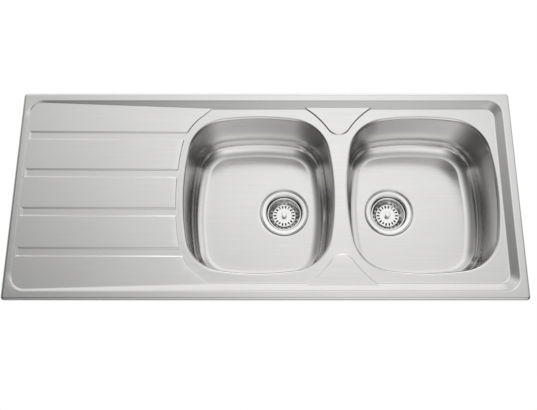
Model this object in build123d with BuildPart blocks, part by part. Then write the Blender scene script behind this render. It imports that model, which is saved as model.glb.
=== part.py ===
from build123d import *
from math import sqrt
import os

# Inset kitchen sink with two bowls and a drainer, in millimetres. X runs along the
# worktop, Y away from the user and Z up. The origin is the plan centre of the sink
# at the level of the worktop on which its rim rests.

# ---------------------------------------------------------------- driving dimensions
LENGTH, WIDTH = 1160, 500  # over the rolled edge
OUTER_CORNER_R = 8
SHEET = 1.0  # gauge of the steel
RIM_TOP = 5  # flat of the rim above the worktop
ROLL_R = 7  # rolled outer edge, cut off at the worktop before it stands upright
ROLL_HIDDEN = ROLL_R - sqrt(ROLL_R**2 - (ROLL_R - RIM_TOP) ** 2)
HEM_WIDTH = 3.5  # return of the folded edge, which rests on the worktop
CUTOUT_INSET = 10  # edge of the worktop opening inside the outline

# pressed recess: its lip on the rim and its foot on the surround of the bowls
RECESS_LEFT, RECESS_RIGHT, RECESS_HALF_Y = -562, 561.5, 229.8
FOOT_LEFT, FOOT_RIGHT, FOOT_HALF_Y = -556, 542, 211
RECESS_CORNER_R, FOOT_CORNER_R = 32, 22
SURROUND_Z = -4  # level steel around the bowls

# drainer: raised panels on a plane that falls to the right, with sunken grooves
PANEL_RISE = 2  # panels above the surround beside the bowl
PANEL_BEYOND = 12  # how far the panels run on under the walls of the recess
DRAIN_LEFT_X, DRAIN_LEFT_Z = -555, 3.3
DRAIN_RIGHT_X = -205
GROOVE_PITCH, GROOVE_COUNT = 94, 4
GROOVE_WIDTH, GROOVE_FLOOR = 21, 15
GROOVE_LEFT_X, GROOVE_LEFT_DEPTH = -557, 3
GROOVE_RUNOUT_X = -155  # past the panels' edge, so that the grooves open beside the bowl
PRESS_ANGLE = 45  # slope of the small pressed walls

# bowls: the wall outline just under the lip, about the bowl's own centre
BOWL_CENTRES = {"left": -18, "right": 360.5}
BOWL_HALF_X, BOWL_HALF_Y = 171, 187
BOWL_CORNER_X, BOWL_CORNER_Y = 147, 169  # where the side and end arcs would meet
BOWL_CORNER_R = 90
LIP_R = 7  # rounded edge between the surround and the bowl's wall
BOWL_TOP_Z = -12  # weld between the deck's lip and the bowl
BOWL_DRAFT = 1.5
FLOOR_Z, FLOOR_R = -157, 36
# edge of the raised panels around a bowl, from the bowl's centre
APRON_SIDE, APRON_SIDE_END = (188, 0), (176, 127)
APRON_BEND, APRON_BEND_END = (160, 162), (128, 196)
APRON_FLARE, APRON_TOP = (116, 207), (103, 217)
TIP_HALF_X, TIP_SIDE_Y, TIP_Y = 25, 158, 144.4  # rounded tip of the panel between the bowls
TIP_ARM = (140.5, 187.5)  # half-way up its sides, from the bowl's centre
TIP_BEYOND, TIP_FLARE = 2, 8  # its run under the wall of the recess

# wastes
WASTE_X = {"left": 43.9, "right": 305.7}
SEAT_TOP_R, SEAT_DEPTH, SEAT_ANGLE = 60.4, 3.5, 30  # seat pressed into the bowl's floor
FLANGE_R, THROAT_R = 57, 44.5
CUP_GAUGE = 1.0
SEAL_T, BODY_SEAL_T = 1.4, 3.0
CUP_SEAL_OUT_R, CUP_SEAL_IN_R = 55, 47.5
LEDGE_Z, CUP_FOOT_Z = -169.5, -189
LEDGE_END_R, CUP_FOOT_R, CUP_FOOT_RISE = 33, 29, 7
THROAT_EDGE, FLANGE_ROUND, FLANGE_CROWN = 2.2, 1.5, 0.6  # bevels of the flange and its dishing
BOLT_R, BOLT_HEAD_R = 3, 7
BODY_IN_R, BODY_OUT_R, BODY_FLANGE_R = 46.2, 49.5, 57
OUTLET_BORE_R, OUTLET_R, OUTLET_END_Z = 19.5, 23.9, -252  # 1 1/2 inch tail

# strainer baskets
BASKET_FLOOR_Z, BASKET_RIM_Z = -183, -168
BASKET_GAUGE = 0.8
BASKET_FLOOR_R, BASKET_WAIST_R, BASKET_RIM_R = 29, 34.5, 43
BASKET_WAIST_RISE, BASKET_LIP = 6, 3.5
SLOT_COUNT, SLOT_LENGTH, SLOT_WIDTH, SLOT_CENTRE_R = 18, 7.6, 3.6, 23.4
DROP_HOLE_R, DROP_RING_R = 1.9, 32  # holes in the wall, between the slots
KNOB_R, KNOB_H, KNOB_ROUND, KNOB_TOP_Z = 6.5, 3.5, 1.2, -172
KNOB_STEM_R, KNOB_NECK_R, KNOB_RIVET_R = 2.5, 3.5, 4

# overflow of the left bowl
OVERFLOW_Y, OVERFLOW_Z = -5, -33  # centre of the holes in the right-hand wall
HOLE_R, HOLE_PITCH, ROW_RISE = 2.6, 10, 9
HOUSING_X0, HOUSING_X1 = 156.5, 181
HOUSING_HALF_Y, HOUSING_HALF_Z, HOUSING_WALL, HOUSING_EDGE_R = 17, 16.5, 2, 3
STUD_R, STUD_OFFSET, STUD_GAP, STUD_FREE = 2, 24, 0.2, 3
PIPE_X, PIPE_R, PIPE_BORE_R = 169, 9, 7.5
PIPE_BEND_R, PIPE_LOW_Z = 25, -190
SPOUT_R, SPOUT_LENGTH = 11.2, 16
UNION_R, UNION_LENGTH, PIPE_GAP = 13.4, 15, 0.1

# fixing clips: brackets on the rim, a screw hanging from each and a claw on the screw
CLIP_XS = (-400, 0, 400)  # along the front and the back
BRACKET_T, BRACKET_HALF_W = 1.5, 13
LUG_Z, LUG_FROM, LUG_TO = -12, -20, -6
SCREW_S, SCREW_R, SCREW_GAP = -13, 3, 0.1
SCREW_END_Z, SCREW_HEAD_R, SCREW_HEAD_H = -56, 5.5, 4
CLAW_HUB_R, CLAW_HUB_H, CLAW_Z = 7, 10, -54
CLAW_TIP_Z, CLAW_REACH, CLAW_WIDTH, CLAW_T = -40, 22.5, 12, 2.5  # reach from the screw's axis

WELD_FROM, WELD_TO = -7.5, -0.8  # flange welded under the rim
LUG_HALF_W, COLLAR_R, COLLAR_T, COLLAR_GAP, SCREW_SLOT = 9, 4.5, 1.4, 0.3, 1.2
TOOTH_GAP, CLAW_GAP = 2, 0.05

# smaller sizes of the pieces under the sink
PAD_T, PAD_HALF_X, PAD_HALF_Y, PAD_CORNER_R, PAD_HOLE_R = 2, 112, 130, 20, 66
STRIP_OUT = 4  # outer edge of the foam strip inside the outline
TAG_Y, TAG_WIDTH, TAG_FOOT, TAG_DROP, TAG_T = 193, 12, 12, 24, 1.2
TAG_HOLE_R, TAG_HOLE_Z = 2.7, -20
CUP_HOLE_COUNT, CUP_HOLE_R, CUP_HOLE_CENTRE_R = 8, 6.2, 21
BODY_FLANGE_T, FUNNEL_TOP_Z, FUNNEL_END_Z = 5, -207, -222
COLLAR_OUT_R, COLLAR_H, BODY_WALL = 27.9, 5, 2  # collar between funnel and outlet
SPIDER_Z, SPIDER_H, SPIDER_R, SPIDER_T, SPIDER_ARMS = -215, 10, 7, 3, 3
BOLT_HEAD_H, BOLT_SLOT = 2, 1.5
SEAL_OUT_R, SEAL_LOW_OUT_R, SEAL_LOW_IN_R, SEAL_EDGE, SEAL_H = 43.4, 42.3, 37.7, 1.85, 3
SOCKET_DEPTH, GASKET_SINK, EAR, EAR_T = 12, 4, 12, 3
NUT_R, NUT_T, PIPE_SEAL_T, UNION_CAP = 4, 3.2, 1.5, 2.5

os.makedirs("parts", exist_ok=True)


def bowl_outline(centre_x, grow):
    """Draw the barrel-shaped outline of a bowl, grown outwards by grow."""
    x, y = BOWL_HALF_X + grow, BOWL_HALF_Y + grow
    cx, cy = BOWL_CORNER_X + grow, BOWL_CORNER_Y + grow
    with BuildSketch(mode=Mode.PRIVATE) as outline:
        with BuildLine():
            ThreePointArc((cx, -cy), (x, 0), (cx, cy))
            ThreePointArc((cx, cy), (0, y), (-cx, cy))
            ThreePointArc((-cx, cy), (-x, 0), (-cx, -cy))
            ThreePointArc((-cx, -cy), (0, -y), (cx, -cy))
        make_face()
        fillet(outline.vertices(), BOWL_CORNER_R + grow)
    with Locations((centre_x, 0)):
        add(outline.sketch)


def drainer_line(x, left_z, right_z, set_back):
    """Give the height at x on a line between the two ends of the drainer."""
    share = (x - DRAIN_LEFT_X) / (DRAIN_RIGHT_X - DRAIN_LEFT_X)
    return left_z + (right_z - left_z) * share - set_back


def drainer_plane(left_z, right_z, set_back):
    """Plane through the drainer's two ends, with its origin above x = 0."""
    x_dir = Vector(DRAIN_RIGHT_X - DRAIN_LEFT_X, 0, right_z - left_z).normalized()
    origin = (0, 0, drainer_line(0, left_z, right_z, set_back))
    return Plane(origin=origin, x_dir=x_dir, z_dir=x_dir.cross(Vector(0, 1, 0)))


def apron_line(centre_x, side_x, side_y):
    """Draw the edge of the raised steel round one corner of a bowl, from side to top."""
    def at(point):
        return (centre_x + side_x * point[0], side_y * point[1])
    ThreePointArc(at(APRON_SIDE_END), at(APRON_BEND), at(APRON_BEND_END))
    ThreePointArc(at(APRON_BEND_END), at(APRON_FLARE), at(APRON_TOP))


# ------------------------------------------------------------------------------ deck
def drainer_panels(set_back):
    """Raised part of the drainer with its grooves, under its falling top plane."""
    panel_z = SURROUND_Z + PANEL_RISE
    base_z = SURROUND_Z - set_back
    left = BOWL_CENTRES["left"]
    x0, y0 = RECESS_LEFT - PANEL_BEYOND, RECESS_HALF_Y + PANEL_BEYOND
    top = drainer_plane(DRAIN_LEFT_Z, panel_z, set_back)
    floor = drainer_plane(DRAIN_LEFT_Z - GROOVE_LEFT_DEPTH, SURROUND_Z, set_back)
    groove_length = GROOVE_RUNOUT_X - GROOVE_LEFT_X
    with BuildPart() as panels:
        with BuildSketch(Plane.XY.offset(base_z)):
            with BuildLine():
                end_x, end_y = left - APRON_SIDE_END[0], APRON_SIDE_END[1]
                top_x, top_y = left - APRON_TOP[0], APRON_TOP[1]
                ThreePointArc((end_x, -end_y), (left - APRON_SIDE[0], 0), (end_x, end_y))
                apron_line(left, -1, 1)
                Polyline((top_x, top_y), (top_x + PANEL_BEYOND, y0), (x0, y0), (x0, -y0))
                Polyline((x0, -y0), (top_x + PANEL_BEYOND, -y0), (top_x, -top_y))
                apron_line(left, -1, -1)
            make_face()
        extrude(amount=RIM_TOP - SURROUND_Z, taper=PRESS_ANGLE)
        split(bisect_by=top, keep=Keep.BOTTOM)
        for n in range(GROOVE_COUNT):
            y = (n - (GROOVE_COUNT - 1) / 2) * GROOVE_PITCH
            wall = (GROOVE_WIDTH - GROOVE_FLOOR) / 2
            with BuildSketch(top):
                with Locations((GROOVE_LEFT_X + groove_length / 2, y)):
                    Rectangle(groove_length, GROOVE_WIDTH)
            with BuildSketch(floor):
                with Locations((GROOVE_LEFT_X + groove_length / 2 + wall / 2, y)):
                    Rectangle(groove_length - wall, GROOVE_FLOOR)
            loft(ruled=True, mode=Mode.SUBTRACT)
    return panels.part


def tip_panels(set_back):
    """Two raised panels between the bowls, at the back and at the front."""
    left, right = BOWL_CENTRES["left"], BOWL_CENTRES["right"]
    middle = (left + right) / 2
    tip_left, tip_right = (middle - TIP_HALF_X, TIP_SIDE_Y), (middle + TIP_HALF_X, TIP_SIDE_Y)
    top_left, top_right = (left + APRON_TOP[0], APRON_TOP[1]), (right - APRON_TOP[0], APRON_TOP[1])
    end_y = RECESS_HALF_Y + TIP_BEYOND
    with BuildPart() as panels:
        with BuildSketch(Plane.XY.offset(SURROUND_Z - set_back)):
            with BuildLine():
                ThreePointArc(tip_left, (middle, TIP_Y), tip_right)
                ThreePointArc(tip_right, (right - TIP_ARM[0], TIP_ARM[1]), top_right)
                Polyline(top_right, (top_right[0] + TIP_FLARE, end_y), (top_left[0] - TIP_FLARE, end_y))
                Line((top_left[0] - TIP_FLARE, end_y), top_left)
                ThreePointArc(top_left, (left + TIP_ARM[0], TIP_ARM[1]), tip_left)
            make_face()
        extrude(amount=PANEL_RISE, taper=PRESS_ANGLE)
        mirror(about=Plane.XZ)
    return panels.part


def pressed_form(set_back):
    """Solid below the pressed surface, set back from it by set_back."""
    level = SURROUND_Z - set_back
    with BuildPart() as form:
        with BuildSketch(Plane.XY.offset(BOWL_TOP_Z)):
            in_by = 2 * (set_back - ROLL_HIDDEN)
            RectangleRounded(LENGTH - in_by, WIDTH - in_by, OUTER_CORNER_R - set_back)
        extrude(amount=RIM_TOP - set_back - BOWL_TOP_Z)
        fillet(form.faces().sort_by(Axis.Z)[-1].edges(), ROLL_R - set_back)
        with BuildSketch(Plane.XY.offset(RIM_TOP - set_back)):
            with Locations(((RECESS_LEFT + RECESS_RIGHT) / 2, 0)):
                RectangleRounded(
                    RECESS_RIGHT - RECESS_LEFT, 2 * RECESS_HALF_Y, RECESS_CORNER_R
                )
        with BuildSketch(Plane.XY.offset(level)):
            with Locations(((FOOT_LEFT + FOOT_RIGHT) / 2, 0)):
                RectangleRounded(FOOT_RIGHT - FOOT_LEFT, 2 * FOOT_HALF_Y, FOOT_CORNER_R)
        loft(ruled=True, mode=Mode.SUBTRACT)
        add(drainer_panels(set_back))
        add(tip_panels(set_back))
        for centre_x in BOWL_CENTRES.values():
            with BuildSketch(Plane.XY.offset(BOWL_TOP_Z)):
                bowl_outline(centre_x, set_back)
            extrude(amount=-BOWL_TOP_Z + RIM_TOP, mode=Mode.SUBTRACT)
            lip = form.edges(Select.LAST).filter_by_position(Axis.Z, level - 0.01, level + 0.01)
            fillet(lip, LIP_R - set_back)
    return form.part


with BuildPart() as deck:
    add(pressed_form(0))
    add(pressed_form(SHEET), mode=Mode.SUBTRACT)
    # the skirt stops at the worktop, where the steel is folded back under the rim
    with BuildSketch(Plane.XY.offset(BOWL_TOP_Z)):
        Rectangle(2 * LENGTH, 2 * WIDTH)
        Rectangle(LENGTH - 2 * HEM_WIDTH, WIDTH - 2 * HEM_WIDTH, mode=Mode.SUBTRACT)
    extrude(amount=-BOWL_TOP_Z, mode=Mode.SUBTRACT)
    with BuildSketch():
        RectangleRounded(LENGTH - SHEET, WIDTH - SHEET, OUTER_CORNER_R - SHEET / 2)
        RectangleRounded(
            LENGTH - 2 * HEM_WIDTH, WIDTH - 2 * HEM_WIDTH, OUTER_CORNER_R - HEM_WIDTH, mode=Mode.SUBTRACT
        )
    extrude(amount=SHEET)
deck.part.label = "deck"
export_step(deck.part, "parts/deck.step")

# ----------------------------------------------------------------------------- bowls


def bowl_form(side, grow):
    """Solid that fills a bowl and the seat of its waste, grown outwards by grow."""
    with BuildPart() as form:
        with BuildSketch(Plane.XY.offset(BOWL_TOP_Z)):
            bowl_outline(BOWL_CENTRES[side], grow)
        extrude(amount=FLOOR_Z - grow - BOWL_TOP_Z, taper=BOWL_DRAFT)
        fillet(form.faces().sort_by(Axis.Z)[0].edges(), FLOOR_R + grow)
        with BuildSketch(Plane.XY.offset(FLOOR_Z - grow)):
            with Locations((WASTE_X[side], 0)):
                Circle(SEAT_TOP_R + grow / 2)
        extrude(amount=-SEAT_DEPTH, taper=SEAT_ANGLE)
    return form.part


bowl_space = {side: bowl_form(side, 0) for side in BOWL_CENTRES}
bowl_hull = {side: bowl_form(side, SHEET) for side in BOWL_CENTRES}

for side, waste_x in WASTE_X.items():
    with BuildPart() as bowl:
        add(bowl_hull[side])
        add(bowl_space[side], mode=Mode.SUBTRACT)
        with BuildSketch(Plane.XY.offset(FLOOR_Z - 2 * SEAT_DEPTH)):
            with Locations((waste_x, 0)):
                Circle(BODY_IN_R)
        extrude(amount=3 * SEAT_DEPTH, mode=Mode.SUBTRACT)
        if side == "left":
            for row, count in enumerate((3, 4)):
                z = OVERFLOW_Z + (0.5 - row) * ROW_RISE
                with BuildSketch(Plane.YZ.offset(BOWL_CENTRES[side])):
                    with Locations((OVERFLOW_Y, z)):
                        with GridLocations(HOLE_PITCH, 1, count, 1):
                            Circle(HOLE_R)
                extrude(amount=2 * BOWL_HALF_X, mode=Mode.SUBTRACT)
    bowl.part.label = f"{side}_bowl"
    export_step(bowl.part, f"parts/{side}_bowl.step")

    # bitumen pad against drumming, glued under the bowl's floor round the waste
    with BuildPart() as pad:
        with BuildSketch(Plane.XY.offset(FLOOR_Z - SHEET)):
            with Locations((BOWL_CENTRES[side], 0)):
                RectangleRounded(2 * PAD_HALF_X, 2 * PAD_HALF_Y, PAD_CORNER_R)
            with Locations((waste_x, 0)):
                Circle(PAD_HOLE_R, mode=Mode.SUBTRACT)
        extrude(amount=-PAD_T)
    pad.part.label = f"{side}_sound_pad"
    export_step(pad.part, f"parts/{side}_sound_pad.step")

# ---------------------------------------------------------------- rim seal and earth
with BuildPart() as sealing_strip:
    with BuildSketch():
        RectangleRounded(LENGTH - 2 * STRIP_OUT, WIDTH - 2 * STRIP_OUT, OUTER_CORNER_R - STRIP_OUT / 2)
        RectangleRounded(
            LENGTH - 2 * CUTOUT_INSET, WIDTH - 2 * CUTOUT_INSET, OUTER_CORNER_R / 2, mode=Mode.SUBTRACT
        )
    extrude(amount=RIM_TOP)
    add(pressed_form(SHEET), mode=Mode.INTERSECT)
sealing_strip.part.label = "sealing_strip"
export_step(sealing_strip.part, "parts/sealing_strip.step")

with BuildPart() as earth_tag:
    tag_z = SURROUND_Z + PANEL_RISE - SHEET
    with BuildSketch(Plane.XY.offset(tag_z)):
        with Locations(((BOWL_CENTRES["left"] + BOWL_CENTRES["right"]) / 2, TAG_Y)):
            Rectangle(TAG_WIDTH, TAG_FOOT, align=(Align.CENTER, Align.MAX))
    extrude(amount=-TAG_T)
    with BuildSketch(Plane.XZ.offset(-TAG_Y)):
        with Locations(((BOWL_CENTRES["left"] + BOWL_CENTRES["right"]) / 2, tag_z)):
            Rectangle(TAG_WIDTH, TAG_DROP, align=(Align.CENTER, Align.MAX))
        with Locations(((BOWL_CENTRES["left"] + BOWL_CENTRES["right"]) / 2, TAG_HOLE_Z)):
            Circle(TAG_HOLE_R, mode=Mode.SUBTRACT)
    extrude(amount=TAG_T)
earth_tag.part.label = "earth_tag"
export_step(earth_tag.part, "parts/earth_tag.step")

# ---------------------------------------------------------------------------- wastes
seat_z = FLOOR_Z - SEAT_DEPTH  # inside of the pressed seat
under_z = seat_z - SHEET
flange_z = seat_z + SEAL_T
body_top_z = under_z - BODY_SEAL_T

for side, waste_x in WASTE_X.items():
    section = Plane(origin=(waste_x, 0, 0), x_dir=(1, 0, 0), z_dir=(0, -1, 0))
    waste_axis = Axis((waste_x, 0, 0), (0, 0, 1))
    plan = Plane(origin=(waste_x, 0, 0))

    with BuildPart() as cup_seal:
        with BuildSketch(plan.offset(seat_z)):
            Circle(CUP_SEAL_OUT_R)
            Circle(CUP_SEAL_IN_R, mode=Mode.SUBTRACT)
        extrude(amount=SEAL_T)
    cup_seal.part.label = f"{side}_cup_seal"
    export_step(cup_seal.part, f"parts/{side}_cup_seal.step")

    # steel cup: flange, throat, sloping ledge for the basket's seal, pierced foot
    with BuildPart() as cup:
        with BuildSketch(section):
            with BuildLine():
                inside = Polyline(
                    (BOLT_R + SCREW_GAP, CUP_FOOT_Z),
                    (CUP_FOOT_R, CUP_FOOT_Z),
                    (LEDGE_END_R, CUP_FOOT_Z + CUP_FOOT_RISE),
                    (THROAT_R, LEDGE_Z),
                    (THROAT_R, flange_z + CUP_GAUGE - THROAT_EDGE),
                    (THROAT_R + THROAT_EDGE, flange_z + CUP_GAUGE),
                    (FLANGE_R - FLANGE_ROUND, flange_z + CUP_GAUGE + FLANGE_CROWN),
                    (FLANGE_R, flange_z + CUP_GAUGE + FLANGE_CROWN - FLANGE_ROUND),
                )
                offset(inside, amount=CUP_GAUGE, side=Side.RIGHT)
            make_face()
        revolve(axis=waste_axis)
        with BuildSketch(plan.offset(CUP_FOOT_Z - 2 * CUP_GAUGE)):
            with PolarLocations(CUP_HOLE_CENTRE_R, CUP_HOLE_COUNT):
                Circle(CUP_HOLE_R)
        extrude(amount=4 * CUP_GAUGE, mode=Mode.SUBTRACT)
    cup.part.label = f"{side}_strainer_cup"
    export_step(cup.part, f"parts/{side}_strainer_cup.step")

    with BuildPart() as body_seal:
        with BuildSketch(plan.offset(body_top_z)):
            Circle(BODY_FLANGE_R)
            Circle(BODY_IN_R, mode=Mode.SUBTRACT)
        extrude(amount=BODY_SEAL_T)
    body_seal.part.label = f"{side}_body_seal"
    export_step(body_seal.part, f"parts/{side}_body_seal.step")

    # moulded body: flanged bowl, funnel and outlet tail, with a spider for the bolt
    with BuildPart() as body:
        with BuildSketch(section):
            with BuildLine():
                Polyline(
                    (BODY_IN_R, body_top_z),
                    (BODY_FLANGE_R, body_top_z),
                    (BODY_FLANGE_R, body_top_z - BODY_FLANGE_T),
                    (BODY_OUT_R, body_top_z - BODY_FLANGE_T),
                    (BODY_OUT_R, FUNNEL_TOP_Z),
                    (COLLAR_OUT_R, FUNNEL_END_Z - BODY_WALL),
                    (COLLAR_OUT_R, FUNNEL_END_Z - COLLAR_H),
                    (OUTLET_R, FUNNEL_END_Z - COLLAR_H),
                    (OUTLET_R, OUTLET_END_Z),
                    (OUTLET_BORE_R, OUTLET_END_Z),
                    (OUTLET_BORE_R, FUNNEL_END_Z),
                    (BODY_IN_R, FUNNEL_TOP_Z),
                    close=True,
                )
            make_face()
        revolve(axis=waste_axis)
        with BuildSketch(plan.offset(SPIDER_Z)):
            Circle(SPIDER_R)
            with PolarLocations(0, SPIDER_ARMS):
                Rectangle(BODY_IN_R + 1, SPIDER_T, align=(Align.MIN, Align.CENTER))
        extrude(amount=SPIDER_H)
        with BuildSketch(plan.offset(SPIDER_Z - 1)):
            Circle(BOLT_R)
        extrude(amount=SPIDER_H + 2, mode=Mode.SUBTRACT)
        if side == "left":
            inlet = Plane(origin=(waste_x, 0, PIPE_LOW_Z), x_dir=(0, 1, 0), z_dir=(1, 0, 0))
            with BuildSketch(inlet.offset(BODY_IN_R + 1)):
                Circle(SPOUT_R)
            extrude(amount=SPOUT_LENGTH + BODY_OUT_R - BODY_IN_R - 1)
            with BuildSketch(inlet.offset(BODY_OUT_R + SPOUT_LENGTH - SOCKET_DEPTH)):
                Circle(PIPE_R + PIPE_GAP)
            extrude(amount=SOCKET_DEPTH, mode=Mode.SUBTRACT)
            with BuildSketch(inlet.offset(BODY_IN_R - 2)):
                Circle(PIPE_BORE_R)
            extrude(amount=SPOUT_LENGTH + BODY_OUT_R - BODY_IN_R, mode=Mode.SUBTRACT)
    body.part.label = f"{side}_waste_body"
    export_step(body.part, f"parts/{side}_waste_body.step")

    with BuildPart() as bolt:
        with BuildSketch(plan.offset(CUP_FOOT_Z)):
            Circle(BOLT_HEAD_R)
        extrude(amount=BOLT_HEAD_H)
        fillet(bolt.faces().sort_by(Axis.Z)[-1].edges(), BOLT_HEAD_H / 2)
        with BuildSketch(plan.offset(CUP_FOOT_Z + BOLT_HEAD_H)):
            Rectangle(2 * BOLT_HEAD_R, BOLT_SLOT)
        extrude(amount=-BOLT_HEAD_H / 2, mode=Mode.SUBTRACT)
        with BuildSketch(plan.offset(CUP_FOOT_Z)):
            Circle(BOLT_R)
        extrude(amount=SPIDER_Z - CUP_FOOT_Z)
    bolt.part.label = f"{side}_clamp_bolt"
    export_step(bolt.part, f"parts/{side}_clamp_bolt.step")

    # basket: pierced dish that lifts out, with a knob and a rubber ring under its rim
    rim_z, floor_z, gauge = BASKET_RIM_Z, BASKET_FLOOR_Z, BASKET_GAUGE
    with BuildPart() as basket:
        with BuildSketch(section):
            with BuildLine():
                inside = Polyline(
                    (KNOB_STEM_R, floor_z),
                    (BASKET_FLOOR_R, floor_z),
                    (BASKET_WAIST_R, floor_z + BASKET_WAIST_RISE),
                    (BASKET_RIM_R - BASKET_LIP, rim_z),
                    (BASKET_RIM_R, rim_z),
                )
                offset(inside, amount=gauge, side=Side.RIGHT)
            make_face()
        revolve(axis=waste_axis)
        with BuildSketch(plan.offset(floor_z - 2 * gauge)):
            with PolarLocations(SLOT_CENTRE_R, SLOT_COUNT):
                SlotOverall(SLOT_LENGTH, SLOT_WIDTH)
            with PolarLocations(DROP_RING_R, SLOT_COUNT, start_angle=180 / SLOT_COUNT):
                Circle(DROP_HOLE_R)
        extrude(amount=rim_z - floor_z, mode=Mode.SUBTRACT)
    basket.part.label = f"{side}_basket"
    export_step(basket.part, f"parts/{side}_basket.step")

    with BuildPart() as knob:
        with BuildSketch(section):
            with BuildLine():
                Polyline(
                    (0, KNOB_TOP_Z), (0, floor_z - 2 * gauge),
                    (KNOB_RIVET_R, floor_z - 2 * gauge), (KNOB_RIVET_R, floor_z - gauge),
                    (KNOB_STEM_R, floor_z - gauge), (KNOB_STEM_R, floor_z),
                    (KNOB_NECK_R, floor_z), (KNOB_NECK_R, KNOB_TOP_Z - KNOB_H),
                    (KNOB_R, KNOB_TOP_Z - KNOB_H), (KNOB_R, KNOB_TOP_Z), close=True,
                )
            make_face()
        revolve(axis=waste_axis)
        fillet(knob.faces().sort_by(Axis.Z)[-1].edges(), KNOB_ROUND)
    knob.part.label = f"{side}_basket_knob"
    export_step(knob.part, f"parts/{side}_basket_knob.step")

    with BuildPart() as basket_seal:
        with BuildSketch(section):
            with BuildLine():
                Polyline(
                    (BASKET_RIM_R - BASKET_LIP, rim_z - gauge), (SEAL_OUT_R, rim_z - gauge),
                    (SEAL_OUT_R, rim_z - gauge - SEAL_EDGE), (SEAL_LOW_OUT_R, rim_z - gauge - SEAL_H),
                    (SEAL_LOW_IN_R, rim_z - gauge - SEAL_H), close=True,
                )
            make_face()
        revolve(axis=waste_axis)
        add(basket.part, mode=Mode.SUBTRACT)
    basket_seal.part.label = f"{side}_basket_seal"
    export_step(basket_seal.part, f"parts/{side}_basket_seal.step")

# -------------------------------------------------------------------------- overflow
overflow = Plane(origin=(0, OVERFLOW_Y, OVERFLOW_Z), x_dir=(0, 1, 0), z_dir=(1, 0, 0))
wall_x = BOWL_CENTRES["left"] + BOWL_HALF_X

with BuildPart() as overflow_gasket:
    with BuildSketch(overflow.offset(wall_x - GASKET_SINK)):
        Rectangle(2 * HOUSING_HALF_Y + 2 * EAR, 2 * HOUSING_HALF_Z)
        Rectangle(
            2 * (HOUSING_HALF_Y - HOUSING_WALL), 2 * (HOUSING_HALF_Z - HOUSING_WALL), mode=Mode.SUBTRACT
        )
        with Locations((-STUD_OFFSET, 0), (STUD_OFFSET, 0)):
            Circle(STUD_R + STUD_GAP, mode=Mode.SUBTRACT)
    extrude(amount=HOUSING_X0 - wall_x + GASKET_SINK)
    add(bowl_hull["left"], mode=Mode.SUBTRACT)
overflow_gasket.part.label = "overflow_gasket"
export_step(overflow_gasket.part, "parts/overflow_gasket.step")

with BuildPart() as overflow_housing:
    with BuildSketch(overflow.offset(HOUSING_X0)):
        Rectangle(2 * HOUSING_HALF_Y, 2 * HOUSING_HALF_Z)
    extrude(amount=HOUSING_X1 - HOUSING_X0)
    fillet(overflow_housing.faces().sort_by(Axis.X)[-1].edges(), HOUSING_EDGE_R)
    with BuildSketch(overflow.offset(HOUSING_X0)):
        Rectangle(2 * HOUSING_HALF_Y + 2 * EAR, 2 * HOUSING_HALF_Z)
    extrude(amount=EAR_T)
    with BuildSketch(overflow.offset(HOUSING_X0)):
        with Locations((-STUD_OFFSET, 0), (STUD_OFFSET, 0)):
            Circle(STUD_R + STUD_GAP)
    extrude(amount=EAR_T, mode=Mode.SUBTRACT)
    with BuildSketch(overflow.offset(HOUSING_X0)):
        Rectangle(2 * (HOUSING_HALF_Y - HOUSING_WALL), 2 * (HOUSING_HALF_Z - HOUSING_WALL))
    extrude(amount=HOUSING_X1 - HOUSING_X0 - HOUSING_WALL, mode=Mode.SUBTRACT)
    spout_top = Plane(origin=(PIPE_X, 0, OVERFLOW_Z - HOUSING_HALF_Z))
    with BuildSketch(spout_top):
        Circle(SPOUT_R)
    extrude(amount=-SPOUT_LENGTH)
    with BuildSketch(spout_top.offset(-SPOUT_LENGTH)):
        Circle(PIPE_R + PIPE_GAP)
    extrude(amount=SOCKET_DEPTH, mode=Mode.SUBTRACT)
    with BuildSketch(spout_top.offset(-SPOUT_LENGTH)):
        Circle(PIPE_BORE_R)
    extrude(amount=SPOUT_LENGTH + HOUSING_WALL + 1, mode=Mode.SUBTRACT)
overflow_housing.part.label = "overflow_housing"
export_step(overflow_housing.part, "parts/overflow_housing.step")

with BuildPart() as overflow_studs:
    with BuildSketch(overflow.offset(wall_x - GASKET_SINK)):
        with Locations((-STUD_OFFSET, 0), (STUD_OFFSET, 0)):
            Circle(STUD_R)
    extrude(amount=HOUSING_X0 + EAR_T + NUT_T + STUD_FREE - wall_x + GASKET_SINK)
    add(bowl_hull["left"], mode=Mode.SUBTRACT)
overflow_studs.part.label = "overflow_studs"
export_step(overflow_studs.part, "parts/overflow_studs.step")

with BuildPart() as overflow_nuts:
    with BuildSketch(overflow.offset(HOUSING_X0 + EAR_T)):
        with Locations((-STUD_OFFSET, 0), (STUD_OFFSET, 0)):
            RegularPolygon(NUT_R, 6)
            Circle(STUD_R, mode=Mode.SUBTRACT)
    extrude(amount=NUT_T)
overflow_nuts.part.label = "overflow_nuts"
export_step(overflow_nuts.part, "parts/overflow_nuts.step")

pipe_top_z = OVERFLOW_Z - HOUSING_HALF_Z - SPOUT_LENGTH + SOCKET_DEPTH
pipe_end_x = WASTE_X["left"] + BODY_OUT_R + SPOUT_LENGTH - SOCKET_DEPTH
with BuildPart() as overflow_pipe:
    with BuildLine() as pipe_route:
        FilletPolyline(
            (PIPE_X, 0, pipe_top_z), (PIPE_X, 0, PIPE_LOW_Z), (pipe_end_x, 0, PIPE_LOW_Z),
            radius=PIPE_BEND_R,
        )
    with BuildSketch(Plane(origin=pipe_route.line @ 0, z_dir=pipe_route.line % 0)):
        Circle(PIPE_R)
        Circle(PIPE_BORE_R, mode=Mode.SUBTRACT)
    sweep()
overflow_pipe.part.label = "overflow_pipe"
export_step(overflow_pipe.part, "parts/overflow_pipe.step")

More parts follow.
